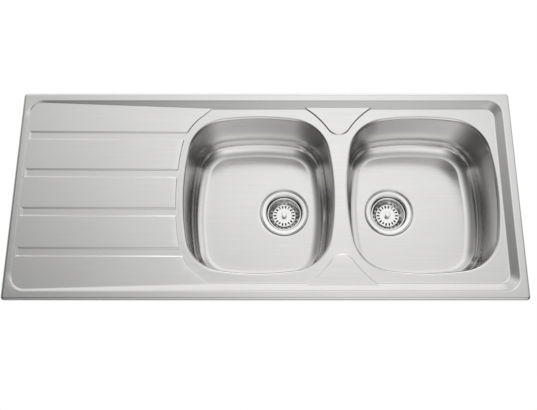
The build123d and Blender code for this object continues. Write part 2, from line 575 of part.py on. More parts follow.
# rubber rings and union nuts at the two ends of the pipe, seen from each spout's mouth
spout_mouths = {
    "top": Plane(origin=(PIPE_X, 0, pipe_top_z - SOCKET_DEPTH), z_dir=(0, 0, -1)),
    "bottom": Plane(origin=(pipe_end_x + SOCKET_DEPTH, 0, PIPE_LOW_Z), z_dir=(1, 0, 0)),
}
with BuildPart() as pipe_seals:
    for mouth in spout_mouths.values():
        with BuildSketch(mouth):
            Circle(SPOUT_R)
            Circle(PIPE_R, mode=Mode.SUBTRACT)
        extrude(amount=PIPE_SEAL_T)
pipe_seals.part.label = "overflow_pipe_seals"
export_step(pipe_seals.part, "parts/overflow_pipe_seals.step")

with BuildPart() as union_nuts:
    for mouth in spout_mouths.values():
        with BuildSketch(mouth.offset(PIPE_SEAL_T + UNION_CAP - UNION_LENGTH)):
            Circle(UNION_R)
        extrude(amount=UNION_LENGTH)
        with BuildSketch(mouth.offset(PIPE_SEAL_T + UNION_CAP - UNION_LENGTH)):
            Circle(SPOUT_R + PIPE_GAP)
        extrude(amount=UNION_LENGTH - UNION_CAP, mode=Mode.SUBTRACT)
        with BuildSketch(mouth):
            Circle(PIPE_R + PIPE_GAP)
        extrude(amount=UNION_LENGTH, mode=Mode.SUBTRACT)
union_nuts.part.label = "overflow_union_nuts"
export_step(union_nuts.part, "parts/overflow_union_nuts.step")

# ---------------------------------------------------------------------- fixing clips
edge_x, edge_y = LENGTH / 2 - CUTOUT_INSET, WIDTH / 2 - CUTOUT_INSET
clip_seats = [Plane(origin=(x, -edge_y, 0), x_dir=(0, -1, 0)) for x in CLIP_XS]
clip_seats += [Plane(origin=(edge_x, 0, 0), x_dir=(1, 0, 0))]
clip_seats += [Plane(origin=(x, edge_y, 0), x_dir=(0, 1, 0)) for x in reversed(CLIP_XS)]
clip_seats += [Plane(origin=(-edge_x, 0, 0), x_dir=(-1, 0, 0))]
rim_under_z = RIM_TOP - SHEET

with BuildPart() as clip_brackets:
    for seat in clip_seats:
        with BuildSketch(seat.offset(rim_under_z - BRACKET_T)):
            with Locations((WELD_FROM, 0)):
                Rectangle(WELD_TO - WELD_FROM, 2 * BRACKET_HALF_W, align=(Align.MIN, Align.CENTER))
        extrude(amount=BRACKET_T)
        with BuildSketch(seat.offset(LUG_Z)):
            with Locations((WELD_FROM, 0)):
                Rectangle(BRACKET_T, 2 * BRACKET_HALF_W, align=(Align.MIN, Align.CENTER))
        extrude(amount=rim_under_z - BRACKET_T - LUG_Z)
        with BuildSketch(seat.offset(LUG_Z)):
            with Locations((LUG_FROM, 0)):
                Rectangle(LUG_TO - LUG_FROM, 2 * LUG_HALF_W, align=(Align.MIN, Align.CENTER))
        extrude(amount=BRACKET_T)
        with BuildSketch(seat.offset(LUG_Z)):
            with Locations((SCREW_S, 0)):
                Circle(SCREW_R + SCREW_GAP)
        extrude(amount=BRACKET_T, mode=Mode.SUBTRACT)
clip_brackets.part.label = "clip_brackets"
export_step(clip_brackets.part, "parts/clip_brackets.step")

for n, seat in enumerate(clip_seats, start=1):
    # screw held in the lug between a peened end and a collar, with its head below
    with BuildPart() as screw:
        with BuildSketch(seat.offset(SCREW_END_Z)):
            with Locations((SCREW_S, 0)):
                Circle(SCREW_R)
        extrude(amount=LUG_Z + BRACKET_T + COLLAR_GAP - SCREW_END_Z)
        for z in (LUG_Z - COLLAR_GAP - COLLAR_T, LUG_Z + BRACKET_T + COLLAR_GAP):
            with BuildSketch(seat.offset(z)):
                with Locations((SCREW_S, 0)):
                    Circle(COLLAR_R)
            extrude(amount=COLLAR_T)
        with BuildSketch(seat.offset(SCREW_END_Z)):
            with Locations((SCREW_S, 0)):
                RegularPolygon(SCREW_HEAD_R, 6)
        extrude(amount=-SCREW_HEAD_H)
        with BuildSketch(seat.offset(SCREW_END_Z - SCREW_HEAD_H)):
            with Locations((SCREW_S, 0)):
                Rectangle(2 * SCREW_HEAD_R, SCREW_SLOT)
        extrude(amount=SCREW_HEAD_H / 2, mode=Mode.SUBTRACT)
    screw.part.label = f"clip_screw_{n}"
    export_step(screw.part, f"parts/clip_screw_{n}.step")

    # claw folded in along the rim: a quarter turn of the screw swings it under the worktop
    folded = Plane(origin=seat.from_local_coords((SCREW_S, 0, 0)), x_dir=seat.y_dir)
    with BuildPart() as claw:
        with BuildSketch(folded.offset(CLAW_Z)):
            Circle(CLAW_HUB_R)
        extrude(amount=CLAW_HUB_H)
        with BuildSketch(folded.offset(CLAW_Z)):
            Rectangle(CLAW_REACH, CLAW_WIDTH, align=(Align.MIN, Align.CENTER))
        extrude(amount=CLAW_T)
        # toothed tip, bent up to bite on the underside of the worktop
        with BuildSketch(folded.offset(CLAW_Z)):
            with Locations((CLAW_REACH, 0)):
                Rectangle(CLAW_T, CLAW_WIDTH, align=(Align.MAX, Align.CENTER))
        extrude(amount=CLAW_TIP_Z - CLAW_Z)
        with BuildSketch(folded.offset(CLAW_TIP_Z)):
            with Locations((CLAW_REACH - CLAW_T / 2, 0)):
                with GridLocations(1, CLAW_WIDTH / 3, 1, 4):
                    Rectangle(2 * CLAW_T, TOOTH_GAP)
        extrude(amount=-TOOTH_GAP, mode=Mode.SUBTRACT)
        with BuildSketch(folded.offset(CLAW_Z)):
            Circle(SCREW_R + CLAW_GAP)
        extrude(amount=CLAW_HUB_H, mode=Mode.SUBTRACT)
    claw.part.label = f"clip_claw_{n}"
    export_step(claw.part, f"parts/clip_claw_{n}.step")
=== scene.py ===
"""Dresses an inset kitchen sink: pressed steel, polished wastes, and the fittings under it."""
import logging
import math
from collections.abc import Iterator, Sequence
from contextlib import contextmanager
from dataclasses import dataclass
from enum import Enum

import bmesh
import bpy
import numpy as np
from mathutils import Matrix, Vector, geometry


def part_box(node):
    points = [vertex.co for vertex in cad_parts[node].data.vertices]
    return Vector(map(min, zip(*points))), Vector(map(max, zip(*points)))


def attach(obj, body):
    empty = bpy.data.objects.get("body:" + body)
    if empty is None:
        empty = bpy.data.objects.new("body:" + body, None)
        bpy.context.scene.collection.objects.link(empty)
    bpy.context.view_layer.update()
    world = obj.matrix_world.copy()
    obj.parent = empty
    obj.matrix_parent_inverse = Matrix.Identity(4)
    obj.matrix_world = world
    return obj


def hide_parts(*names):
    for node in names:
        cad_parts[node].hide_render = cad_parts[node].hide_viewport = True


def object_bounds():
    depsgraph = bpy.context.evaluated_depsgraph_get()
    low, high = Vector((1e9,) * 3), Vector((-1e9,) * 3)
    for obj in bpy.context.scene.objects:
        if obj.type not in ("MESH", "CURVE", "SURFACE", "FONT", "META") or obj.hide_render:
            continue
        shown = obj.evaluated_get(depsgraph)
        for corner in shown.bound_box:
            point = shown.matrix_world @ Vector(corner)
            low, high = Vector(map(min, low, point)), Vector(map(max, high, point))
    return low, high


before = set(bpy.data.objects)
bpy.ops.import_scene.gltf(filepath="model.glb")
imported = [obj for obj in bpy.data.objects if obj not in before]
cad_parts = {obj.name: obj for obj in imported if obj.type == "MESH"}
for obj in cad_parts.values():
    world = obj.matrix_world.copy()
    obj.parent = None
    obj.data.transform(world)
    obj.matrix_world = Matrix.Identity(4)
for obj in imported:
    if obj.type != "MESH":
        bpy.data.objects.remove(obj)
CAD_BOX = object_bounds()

LOG = logging.getLogger("sink")
Socket = bpy.types.NodeSocket
Value = Socket | float | tuple
MM = 0.001  # sizes are in millimetres, as in the part's source, and meshes in metres
SINK_BODY = "sink"
WASTE_X = {"left": 43.9, "right": 305.7}
BOWL_X = {"left": -18.0, "right": 360.5}
BOWL_TOP_Z = -12.0
CREASE_STEPS = (-1.0, -0.5, 0.0, 0.5, 1.0)  # lines of the mesh along a crease, in shares of its half width


# ------------------------------------------------------------------------ plan geometry
def arc_through(start: Sequence, middle: Sequence, end: Sequence, steps: int) -> np.ndarray:
    """Points on the circular arc through three points.

    Args:
        start: first point of the arc.
        middle: any point between the two ends.
        end: last point of the arc.
        steps: number of chords.

    Returns:
        Array of steps + 1 points.
    """
    a, b, c = (np.array(point, float) for point in (start, middle, end))
    square = [point @ point for point in (a, b, c)]
    twist = 2 * (a[0] * (b[1] - c[1]) + b[0] * (c[1] - a[1]) + c[0] * (a[1] - b[1]))
    centre = np.array([
        square[0] * (b[1] - c[1]) + square[1] * (c[1] - a[1]) + square[2] * (a[1] - b[1]),
        square[0] * (c[0] - b[0]) + square[1] * (a[0] - c[0]) + square[2] * (b[0] - a[0]),
    ]) / twist
    angles = [math.atan2(*(point - centre)[::-1]) for point in (a, b, c)]
    sweep = (angles[2] - angles[0]) % math.tau
    if (angles[1] - angles[0]) % math.tau > sweep:
        sweep -= math.tau
    turned = angles[0] + sweep * np.linspace(0, 1, steps + 1)
    return centre + np.linalg.norm(a - centre) * np.column_stack([np.cos(turned), np.sin(turned)])


def bow_radius(half_chord: float, rise: float) -> float:
    """Radius of the arc with the given half chord and rise."""
    return (half_chord ** 2 + rise ** 2) / (2 * rise)


def offset_line(line: np.ndarray, distance: float | np.ndarray) -> np.ndarray:
    """Move a line sideways.

    Args:
        line: its points.
        distance: how far to the left of its direction, for the line or for each point.

    Returns:
        The moved points.
    """
    along = np.gradient(line, axis=0)
    along /= np.linalg.norm(along, axis=1)[:, None]
    return line + np.column_stack([-along[:, 1], along[:, 0]]) * np.reshape(distance, (-1, 1))


def roll(start: float, centre_z: float, radius: float, end_deg: float, steps: int) -> list[tuple]:
    """Distance and height of rings round a downward bend, without its first one.

    Args:
        start: distance at which the bend begins.
        centre_z: height of its centre.
        radius: its radius.
        end_deg: how far it turns.
        steps: number of rings.

    Returns:
        (distance, height) of each ring.
    """
    turns = np.radians(np.linspace(0, end_deg, steps + 1)[1:])
    return [(start - radius * math.sin(turn), centre_z + radius * math.cos(turn)) for turn in turns]


def distance_inside(x: np.ndarray, y: np.ndarray, polygon: np.ndarray) -> np.ndarray:
    """Distance of plan points from a closed polygon, positive inside it.

    Args:
        x: first coordinates of the points.
        y: second coordinates of the points.
        polygon: its corners in order.

    Returns:
        One signed distance for each point.
    """
    tiny = 1e-12
    start, end = polygon, np.roll(polygon, -1, axis=0)
    edge = end - start
    px, py = x[:, None], y[:, None]
    rel_x, rel_y = px - start[:, 0], py - start[:, 1]
    share = (rel_x * edge[:, 0] + rel_y * edge[:, 1]) / np.maximum((edge ** 2).sum(1), tiny)
    share = np.clip(share, 0, 1)
    away = np.hypot(rel_x - share * edge[:, 0], rel_y - share * edge[:, 1]).min(1)
    rise = np.where(edge[:, 1] == 0, tiny, edge[:, 1])
    crossed = ((start[:, 1] > py) != (end[:, 1] > py)) & (rel_x < edge[:, 0] * rel_y / rise)
    return np.where(crossed.sum(1) % 2 == 1, away, -away)


def soft_max(a: np.ndarray, b: np.ndarray, blend: float) -> np.ndarray:
    """The larger of two heights, with a fillet where they meet."""
    return np.maximum(a, b) + np.maximum(blend - np.abs(a - b), 0) ** 2 / (4 * blend)


def soft_min(a: np.ndarray, b: np.ndarray, blend: float) -> np.ndarray:
    """The smaller of two heights, with a round where they meet."""
    return -soft_max(-np.asarray(a), -np.asarray(b), blend)


@dataclass(frozen=True)
class RoundedBox:
    """Rounded rectangle in plan, symmetric about y = 0.

    Args:
        low_x: left side.
        high_x: right side.
        half_y: half of its depth.
        corner_r: radius of its corners.
    """

    low_x: float
    high_x: float
    half_y: float
    corner_r: float

    def distance(self, x: np.ndarray, y: np.ndarray) -> np.ndarray:
        """Distance of plan points from the outline.

        Args:
            x: first coordinates of the points.
            y: second coordinates of the points.

        Returns:
            One signed distance for each point, positive outside.
        """
        half_x = (self.high_x - self.low_x) / 2
        past_x = np.abs(x - (self.low_x + self.high_x) / 2) - (half_x - self.corner_r)
        past_y = np.abs(y) - (self.half_y - self.corner_r)
        outside = np.hypot(np.maximum(past_x, 0), np.maximum(past_y, 0))
        return outside + np.minimum(np.maximum(past_x, past_y), 0) - self.corner_r

    def ring(self, long_steps: int, short_steps: int, corner_steps: int) -> np.ndarray:
        """Points once round the outline, anticlockwise.

        Args:
            long_steps: chords along each side parallel to x.
            short_steps: chords along each side parallel to y.
            corner_steps: chords in each corner.

        Returns:
            Array of points, the same number whatever the size.
        """
        arcs = []
        for quarter, (side_x, side_y) in enumerate(((1, 1), (-1, 1), (-1, -1), (1, -1))):
            centre_x = self.high_x - self.corner_r if side_x > 0 else self.low_x + self.corner_r
            centre = np.array([centre_x, side_y * (self.half_y - self.corner_r)])
            turned = math.pi / 2 * (quarter + np.linspace(0, 1, corner_steps + 1))
            arcs.append(centre + self.corner_r * np.column_stack([np.cos(turned), np.sin(turned)]))
        points = []
        for quarter, arc in enumerate(arcs):
            following = arcs[(quarter + 1) % 4]
            steps = long_steps if quarter % 2 == 0 else short_steps
            share = np.linspace(0, 1, steps + 1)[1:-1, None]
            points += [arc, arc[-1] + share * (following[0] - arc[-1])]
        return np.vstack(points)


@dataclass(frozen=True)
class BowlOutline:
    """Barrel-shaped outline of a bowl: shallow arcs on its four sides joined by corner arcs.

    Args:
        centre_x: plan centre of the bowl.
        half_x: half of its width at mid-depth.
        half_y: half of its depth at mid-width.
        meet_x: where the side and end arcs would meet.
        meet_y: where the side and end arcs would meet.
        corner_r: radius of the corner arcs.
    """

    centre_x: float
    half_x: float = 171.0
    half_y: float = 187.0
    meet_x: float = 147.0
    meet_y: float = 169.0
    corner_r: float = 90.0

    @property
    def side_r(self) -> float:
        """Radius of the two side arcs."""
        return bow_radius(self.meet_y, self.half_x - self.meet_x)

    @property
    def end_r(self) -> float:
        """Radius of the back and front arcs."""
        return bow_radius(self.meet_x, self.half_y - self.meet_y)

    @property
    def side_x(self) -> float:
        """Centre of the right-hand arc, from the bowl's centre."""
        return self.half_x - self.side_r

    @property
    def end_y(self) -> float:
        """Centre of the back arc, from the bowl's centre."""
        return self.half_y - self.end_r

    @property
    def corner_centre(self) -> np.ndarray:
        """Find the corner arc that touches the right and the back arc from inside.

        Returns:
            Its centre, from the bowl's centre.
        """
        side, end = np.array([self.side_x, 0]), np.array([0, self.end_y])
        reach_side, reach_end = self.side_r - self.corner_r, self.end_r - self.corner_r
        span = np.linalg.norm(end - side)
        along = (reach_side ** 2 - reach_end ** 2 + span ** 2) / (2 * span)
        across = math.sqrt(reach_side ** 2 - along ** 2)
        unit = (end - side) / span
        return side + along * unit + across * np.array([-unit[1], unit[0]]) * np.sign(-unit[1])

    def turns(self) -> tuple[float, float]:
        """Directions of the outline's normal at the two ends of the first corner arc."""
        x, y = self.corner_centre
        return math.atan2(y, x - self.side_x), math.atan2(y - self.end_y, x)

    def angles(self, side_steps: int = 9, corner_steps: int = 24) -> np.ndarray:
        """Spread the points of a ring over the outline.

        Args:
            side_steps: chords along half of each shallow arc.
            corner_steps: chords in each corner.

        Returns:
            Directions of the normal at the points, once round.
        """
        first, last = self.turns()
        quarter = np.concatenate([
            np.linspace(0, first, side_steps + 1)[:-1],
            np.linspace(first, last, corner_steps + 1)[:-1],
            np.linspace(last, math.pi / 2, side_steps + 1)[:-1],
        ])
        back = math.pi - np.append(quarter, math.pi / 2)[::-1]
        half = np.concatenate([quarter, back])[:-1]
        return np.concatenate([half, half + math.pi])

    def ring(self, angles: np.ndarray, grow: float) -> np.ndarray:
        """Points where the outline, grown by grow, has the given normals.

        Args:
            angles: directions of the normal.
            grow: distance outwards from the outline.

        Returns:
            Array of points in plan.
        """
        first, last = self.turns()
        unit = np.column_stack([np.cos(angles), np.sin(angles)])
        folded = np.arctan2(np.abs(unit[:, 1]), np.abs(unit[:, 0]))
        centre = np.tile(self.corner_centre, (len(angles), 1))
        radius = np.full(len(angles), self.corner_r)
        at_side, at_end = folded < first, folded > last
        centre[at_side], centre[at_end] = (self.side_x, 0), (0, self.end_y)
        radius[at_side], radius[at_end] = self.side_r, self.end_r
        points = centre * np.sign(np.round(unit, 9)) + (radius + grow)[:, None] * unit
        return points + (self.centre_x, 0)

    def distance(self, x: np.ndarray, y: np.ndarray) -> np.ndarray:
        """Distance of plan points from the outline.

        Args:
            x: first coordinates of the points.
            y: second coordinates of the points.

        Returns:
            One signed distance for each point, positive outside.
        """
        first, last = self.turns()
        px, py = np.abs(x - self.centre_x), np.abs(y)
        centre = self.corner_centre
        turned = np.arctan2(py - centre[1], px - centre[0])
        side = np.hypot(px - self.side_x, py) - self.side_r
        end = np.hypot(px, py - self.end_y) - self.end_r
        corner = np.hypot(px - centre[0], py - centre[1]) - self.corner_r
        return np.where((turned > first) & (turned < last), corner, np.maximum(side, end))


# ------------------------------------------------------------------------ mesh building
def add_object(name: str, data: bpy.types.ID) -> bpy.types.Object:
    """Put a mesh, a lamp or a camera into the scene.

    Args:
        name: name of the new object.
        data: what it shows.

    Returns:
        The new object, at the origin.
    """
    made = bpy.data.objects.new(name, data)
    bpy.context.scene.collection.objects.link(made)
    return made


def mesh_object(name: str, points: Sequence, faces: list) -> bpy.types.Object:
    """Make an object from points and faces.

    Args:
        name: name of the new object.
        points: places of its vertices in millimetres.
        faces: vertex numbers of each face.

    Returns:
        The new object.
    """
    mesh = bpy.data.meshes.new(name)
    mesh.from_pydata((np.asarray(points, float) * MM).tolist(), [], faces)
    mesh.validate()
    return add_object(name, mesh)


@contextmanager
def editing(mesh: bpy.types.Mesh, merge: float) -> Iterator[bmesh.types.BMesh]:
    """Open a mesh for editing and write it back afterwards.

    Args:
        mesh: the mesh.
        merge: vertices closer than this many metres are merged first.

    Yields:
        The mesh, ready to be edited.
    """
    shape = bmesh.new()
    shape.from_mesh(mesh)
    bmesh.ops.remove_doubles(shape, verts=shape.verts, dist=merge)
    yield shape
    shape.to_mesh(mesh)
    shape.free()


def smooth(made: bpy.types.Object, sharp_deg: float = 35.0) -> None:
    """Shade smooth, but keep edges sharper than the angle crisp."""
    made.data.shade_smooth()
    made.data.set_sharp_from_angle(angle=math.radians(sharp_deg))


def strip(first: np.ndarray, second: np.ndarray) -> list:
    """Faces between two closed rings of vertex numbers."""
    after_first, after_second = np.roll(first, -1), np.roll(second, -1)
    return np.column_stack([first, second, after_second, after_first]).tolist()


def tube_faces(rings: np.ndarray) -> list:
    """Faces between each ring of vertex numbers and the next, and from the last to the first."""
    return [face for here, after in zip(rings, np.roll(rings, -1, axis=0)) for face in strip(here, after)]


class Sheet:
    """Points and faces of a sheet that grows ring by ring from what is there.

    Args:
        points: arrays of the first points.
        faces: the first faces.
    """

    def __init__(self, points: list[np.ndarray], faces: list) -> None:
        """Start from the first points and faces."""
        self.points, self.faces = points, faces

    def chain(self, last: np.ndarray, rings: list[tuple], flip: bool = False) -> np.ndarray:
        """Add level rings one after another, with faces between them.

        Args:
            last: vertex numbers of the ring to start from.
            rings: plan points and height of each new ring.
            flip: whether the faces turn the other way.

        Returns:
            Vertex numbers of the last ring.
        """
        for plan, z in rings:
            total = sum(len(chunk) for chunk in self.points)
            self.points.append(np.column_stack([plan, np.full(len(plan), z)]))
            ring = np.arange(total, total + len(plan))
            self.faces += strip(ring, last) if flip else strip(last, ring)
            last = ring
        return last


def bake_modifiers(made: bpy.types.Object) -> None:
    """Turn an object's modifiers into its plain mesh.

    Args:
        made: the object, which keeps its name.
    """
    bpy.context.view_layer.update()
    seen = made.evaluated_get(bpy.context.evaluated_depsgraph_get())
    mesh = bpy.data.meshes.new_from_object(seen)
    mesh.name = made.name
    made.modifiers.clear()
    made.data = mesh


def rounded_line(corners: list[tuple], steps: int = 6) -> np.ndarray:
    """Open line through corners that are rounded off.

    Args:
        corners: (r, z, radius) of each corner.
        steps: chords in each round.

    Returns:
        Array of (r, z) points.
    """
    straight = math.pi / 2 - 1e-3
    points = [np.array(corners[0][:2], float)]
    for before, here, after in zip(corners, corners[1:], corners[2:]):
        corner = np.array(here[:2], float)
        back, ahead = np.array(before[:2], float) - corner, np.array(after[:2], float) - corner
        back, ahead = back / np.linalg.norm(back), ahead / np.linalg.norm(ahead)
        half = math.acos(float(np.clip(back @ ahead, -1, 1))) / 2
        if here[2] <= 0 or half > straight:
            points.append(corner)
            continue
        reach = here[2] / math.tan(half)
        bisector = (back + ahead) / np.linalg.norm(back + ahead)
        middle = corner + bisector * (here[2] / math.sin(half) - here[2])
        points += list(arc_through(corner + back * reach, middle, corner + ahead * reach, steps))
    points.append(np.array(corners[-1][:2], float))
    return np.array(points)


def sheet_section(corners: list[tuple], gauge: float) -> np.ndarray:
    """Closed section of sheet metal whose visible side follows a rounded line."""
    line = rounded_line(corners)
    return np.vstack([line, offset_line(line, -gauge)[::-1]])


def lathe(name: str, section: np.ndarray, centre_x: float, segments: int = 128) -> bpy.types.Object:
    """Turn a closed section about an upright axis.

    Args:
        name: name of the new object.
        section: (r, z) points, closed by the last one meeting the first.
        centre_x: where the axis stands on y = 0.
        segments: number of steps round.

    Returns:
        The turned object, with its seams closed and its faces turned outwards.
    """
    turned = np.linspace(0, math.tau, segments, endpoint=False)
    radius, height = section[:, 0][:, None], section[:, 1][:, None]
    points = np.stack([
        centre_x + radius * np.cos(turned), radius * np.sin(turned), height + 0 * turned,
    ], axis=2).reshape(-1, 3)
    made = mesh_object(name, points, tube_faces(np.arange(len(points)).reshape(-1, segments)))
    with editing(made.data, 1e-6) as shape:
        bmesh.ops.recalc_face_normals(shape, faces=shape.faces)
        if shape.calc_volume(signed=True) < 0:
            bmesh.ops.reverse_faces(shape, faces=shape.faces)
    smooth(made)
    return made


def softened(node: str, name: str, width: float, sharp_deg: float = 30.0) -> bpy.types.Object:
    """Copy a CAD node with its loose triangles joined and its edges broken.

    Args:
        node: name of the CAD node.
        name: name of the new piece.
        width: width of the broken edges in millimetres.
        sharp_deg: edges sharper than this are broken.

    Returns:
        The new object.
    """
    made = add_object(name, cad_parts[node].data.copy())
    made.data.materials.clear()
    flat_angle = math.radians(0.4)
    with editing(made.data, 2e-6) as shape:
        bmesh.ops.dissolve_limit(shape, angle_limit=flat_angle, verts=shape.verts, edges=shape.edges)
    bevel = made.modifiers.new("broken_edges", "BEVEL")
    bevel.width, bevel.segments = width * MM, 2
    bevel.limit_method, bevel.angle_limit = "ANGLE", math.radians(sharp_deg)
    bevel.use_clamp_overlap = True
    bake_modifiers(made)
    smooth(made, 40)
    return made


# ------------------------------------------------------------------------------ finishes
class NodeTree:
    """Adds nodes to a node tree.

    Args:
        tree: the tree that is filled.
    """

    def __init__(self, tree: bpy.types.NodeTree) -> None:
        """Keep the tree."""
        self.tree = tree

    def plug(self, value: Value, target: Socket) -> None:
        """Give an input its value.

        Args:
            value: a socket, which is connected, or a constant.
            target: the input.
        """
        if isinstance(value, Socket):
            self.tree.links.new(value, target)
        else:
            target.default_value = value

    def add(self, kind: str, inputs: dict | None = None, **settings) -> bpy.types.Node:
        """Add a node.

        Args:
            kind: its type.
            inputs: sockets or constants, keyed by the input's name or number.
            settings: its properties.

        Returns:
            The new node.
        """
        node = self.tree.nodes.new(kind)
        for key, value in settings.items():
            setattr(node, key, value)
        for key, value in (inputs or {}).items():
            self.plug(value, node.inputs[key])
        return node

    def maths(self, operation: str, *values: Value) -> Socket:
        """Result of a maths node on sockets or constants."""
        return self.add("ShaderNodeMath", dict(enumerate(values)), operation=operation).outputs[0]

    def vector(self, operation: str, *values: Value) -> Socket:
        """Result of a vector maths node on sockets or constants."""
        node = self.add("ShaderNodeVectorMath", dict(enumerate(values)), operation=operation)
        return node.outputs["Value" if operation in ("DISTANCE", "LENGTH", "DOT_PRODUCT") else "Vector"]


class Graph(NodeTree):
    """Node tree of a material.

    Args:
        material: the material whose tree is filled.
    """

    def __init__(self, material: bpy.types.Material) -> None:
        """Open the material's tree.

        Args:
            material: the material.
        """
        material.use_nodes = True
        super().__init__(material.node_tree)
        self.shader = self.tree.nodes["Principled BSDF"]
        self.place = self.add("ShaderNodeTexCoord").outputs["Object"]

    def feed(self, name: str, value: Value) -> None:
        """Give the shader's input a socket or a constant."""
        self.plug(value, self.shader.inputs[name])

    def mapped(self, scale: tuple, centre: tuple = (0, 0, 0)) -> Socket:
        """Object coordinates in metres about a centre, times a scale."""
        return self.vector("MULTIPLY", self.vector("SUBTRACT", self.place, centre), scale)

    def noise(self, scale: tuple, detail: float) -> Socket:
        """Noise factor over scaled object coordinates."""
        inputs = {"Vector": self.mapped(scale), "Scale": 1.0, "Detail": detail}
        return self.add("ShaderNodeTexNoise", inputs).outputs["Fac"]

    def cells(self, per_metre: float) -> Socket:
        """Distance from the middle of the nearest grain."""
        inputs = {"Vector": self.mapped((per_metre,) * 3), "Scale": 1.0}
        return self.add("ShaderNodeTexVoronoi", inputs).outputs["Distance"]

    def spread(self, factor: Socket, low: float, high: float,
               from_low: float = 0.3, from_high: float = 0.7) -> Socket:
        """Map a factor onto a range of values."""
        return self.add("ShaderNodeMapRange", {
            "Value": factor, "From Min": from_low, "From Max": from_high, "To Min": low, "To Max": high,
        }).outputs["Result"]

    def mix(self, factor: Socket, dark: tuple, light: tuple) -> Socket:
        """Blend two colours by a factor."""
        inputs = {"Factor": factor, 6: (*dark, 1), 7: (*light, 1)}
        return self.add("ShaderNodeMix", inputs, data_type="RGBA").outputs[2]

    def bump(self, height: Socket, strength: float, distance: float,
             normal: Socket | None = None) -> Socket:
        """Bump from a height.

        Args:
            height: factor of the height.
            strength: share of the effect.
            distance: height of the factor 1, in metres.
            normal: another bump, under this one.

        Returns:
            The bent normal.
        """
        inputs = {"Strength": strength, "Distance": distance, "Height": height}
        if normal is not None:
            inputs["Normal"] = normal
        return self.add("ShaderNodeBump", inputs).outputs["Normal"]

    def wallness(self) -> Socket:
        """1 on upright surfaces and 0 on level ones."""
        normal = self.add("ShaderNodeNewGeometry").outputs["Normal"]
        level = self.maths("ABSOLUTE", self.add("ShaderNodeSeparateXYZ", {0: normal}).outputs["Z"])
        return self.spread(level, 1.0, 0.0, 0.15, 0.75)


@dataclass(frozen=True)
class Finish:
    """One finish of the sink's pieces.

    Args:
        name: name of the material.
        slot: the material slot that it stands for; not used.
        colour: base colour, linear.
        metallic: 1 for metal.
        roughness: mean roughness.
    """

    name: str
    slot: str
    colour: tuple[float, float, float]
    metallic: float
    roughness: float

    def material(self) -> bpy.types.Material:
        """Build the material, the first time.

        Returns:
            The material.
        """
        found = bpy.data.materials.get(self.name)
        if found is None:
            found = bpy.data.materials.new(self.name)
            graph = Graph(found)
            graph.feed("Base Color", (*self.colour, 1))
            graph.feed("Metallic", self.metallic)
            graph.feed("Roughness", self.roughness)
            self.dress(graph)
        return found

    def shade(self, factor: float) -> tuple[float, ...]:
        """The colour times a factor."""
        return tuple(min(1.0, channel * factor) for channel in self.colour)

    def tint(self, graph: Graph, factor: Socket, dark: float, light: float) -> None:
        """Vary the colour between two shades of itself."""
        graph.feed("Base Color", graph.mix(factor, self.shade(dark), self.shade(light)))

    def roughen(self, graph: Graph, factor: Socket, less: float, more: float) -> None:
        """Vary the roughness about its mean."""
        graph.feed("Roughness", graph.spread(factor, self.roughness - less, self.roughness + more))

    def dress(self, graph: Graph) -> None:
        """Add the finish's detail."""
        raise NotImplementedError


@dataclass(frozen=True)
class SatinSteel(Finish):
    """Brushed steel of the deck and the bowls: fine grain along x and draw marks on the walls."""

    grain: float = 0.06
    grain_depth: float = 0.00004
    draw_marks: float = 0.35
    draw_depth: float = 0.0012

    def dress(self, graph: Graph) -> None:
        """Add the grain, the draw marks and their unevenness.

        Args:
            graph: the material's tree.
        """
        streaks = graph.maths("MULTIPLY", graph.noise((7, 9, 9), 3), graph.noise((6, 380, 380), 2))
        self.tint(graph, graph.spread(streaks, 0, 1, 0.12, 0.42), 0.99, 1.03)
        self.roughen(graph, graph.noise((11, 500, 300), 2), 0.03, 0.04)
        fine = graph.bump(graph.noise((14, 1400, 900), 2), self.grain, self.grain_depth)
        marks = graph.maths("MULTIPLY", graph.noise((3, 3, 60), 3), graph.wallness())
        graph.feed("Normal", graph.bump(marks, self.draw_marks, self.draw_depth, fine))


@dataclass(frozen=True)
class PolishedSteel(Finish):
    """Bright steel of a waste, with faint turning marks about its axis."""

    centre_x: float = 0.0
    rings_per_m: float = 900.0

    def dress(self, graph: Graph) -> None:
        """Add the turning marks and slight smears.

        Args:
            graph: the material's tree.
        """
        away = graph.vector("LENGTH", graph.mapped((1, 1, 0), (self.centre_x * MM, 0, 0)))
        rings = graph.add("ShaderNodeTexNoise", noise_dimensions="1D",
                          inputs={"W": away, "Scale": self.rings_per_m, "Detail": 2.0})
        graph.feed("Normal", graph.bump(rings.outputs["Fac"], 0.12, 0.0001))
        self.roughen(graph, graph.noise((60, 60, 60), 4), 0.02, 0.05)


@dataclass(frozen=True)
class ZincPlate(Finish):
    """Zinc-plated steel of the clips, studs and tag."""

    spangles_per_m: float = 420.0

    def dress(self, graph: Graph) -> None:
        """Add spangle and dull patches.

        Args:
            graph: the material's tree.
        """
        patch = graph.noise((90, 90, 90), 4)
        self.tint(graph, patch, 0.8, 1.1)
        self.roughen(graph, patch, 0.08, 0.12)
        graph.feed("Normal", graph.bump(graph.cells(self.spangles_per_m), 0.15, 0.0001))


@dataclass(frozen=True)
class GrainedSoft(Finish):
    """Rubber, foam or bitumen, told apart by the size and depth of its grain."""

    grain_per_m: float = 900.0
    depth: float = 0.0002
    strength: float = 0.5

    def dress(self, graph: Graph) -> None:
        """Add the grain and a dusty unevenness.

        Args:
            graph: the material's tree.
        """
        dust = graph.noise((25, 25, 25), 5)
        self.tint(graph, graph.spread(dust, 0, 1), 0.8, 1.3)
        self.roughen(graph, dust, 0.08, 0.08)
        graph.feed("Normal", graph.bump(graph.cells(self.grain_per_m), self.strength, self.depth))


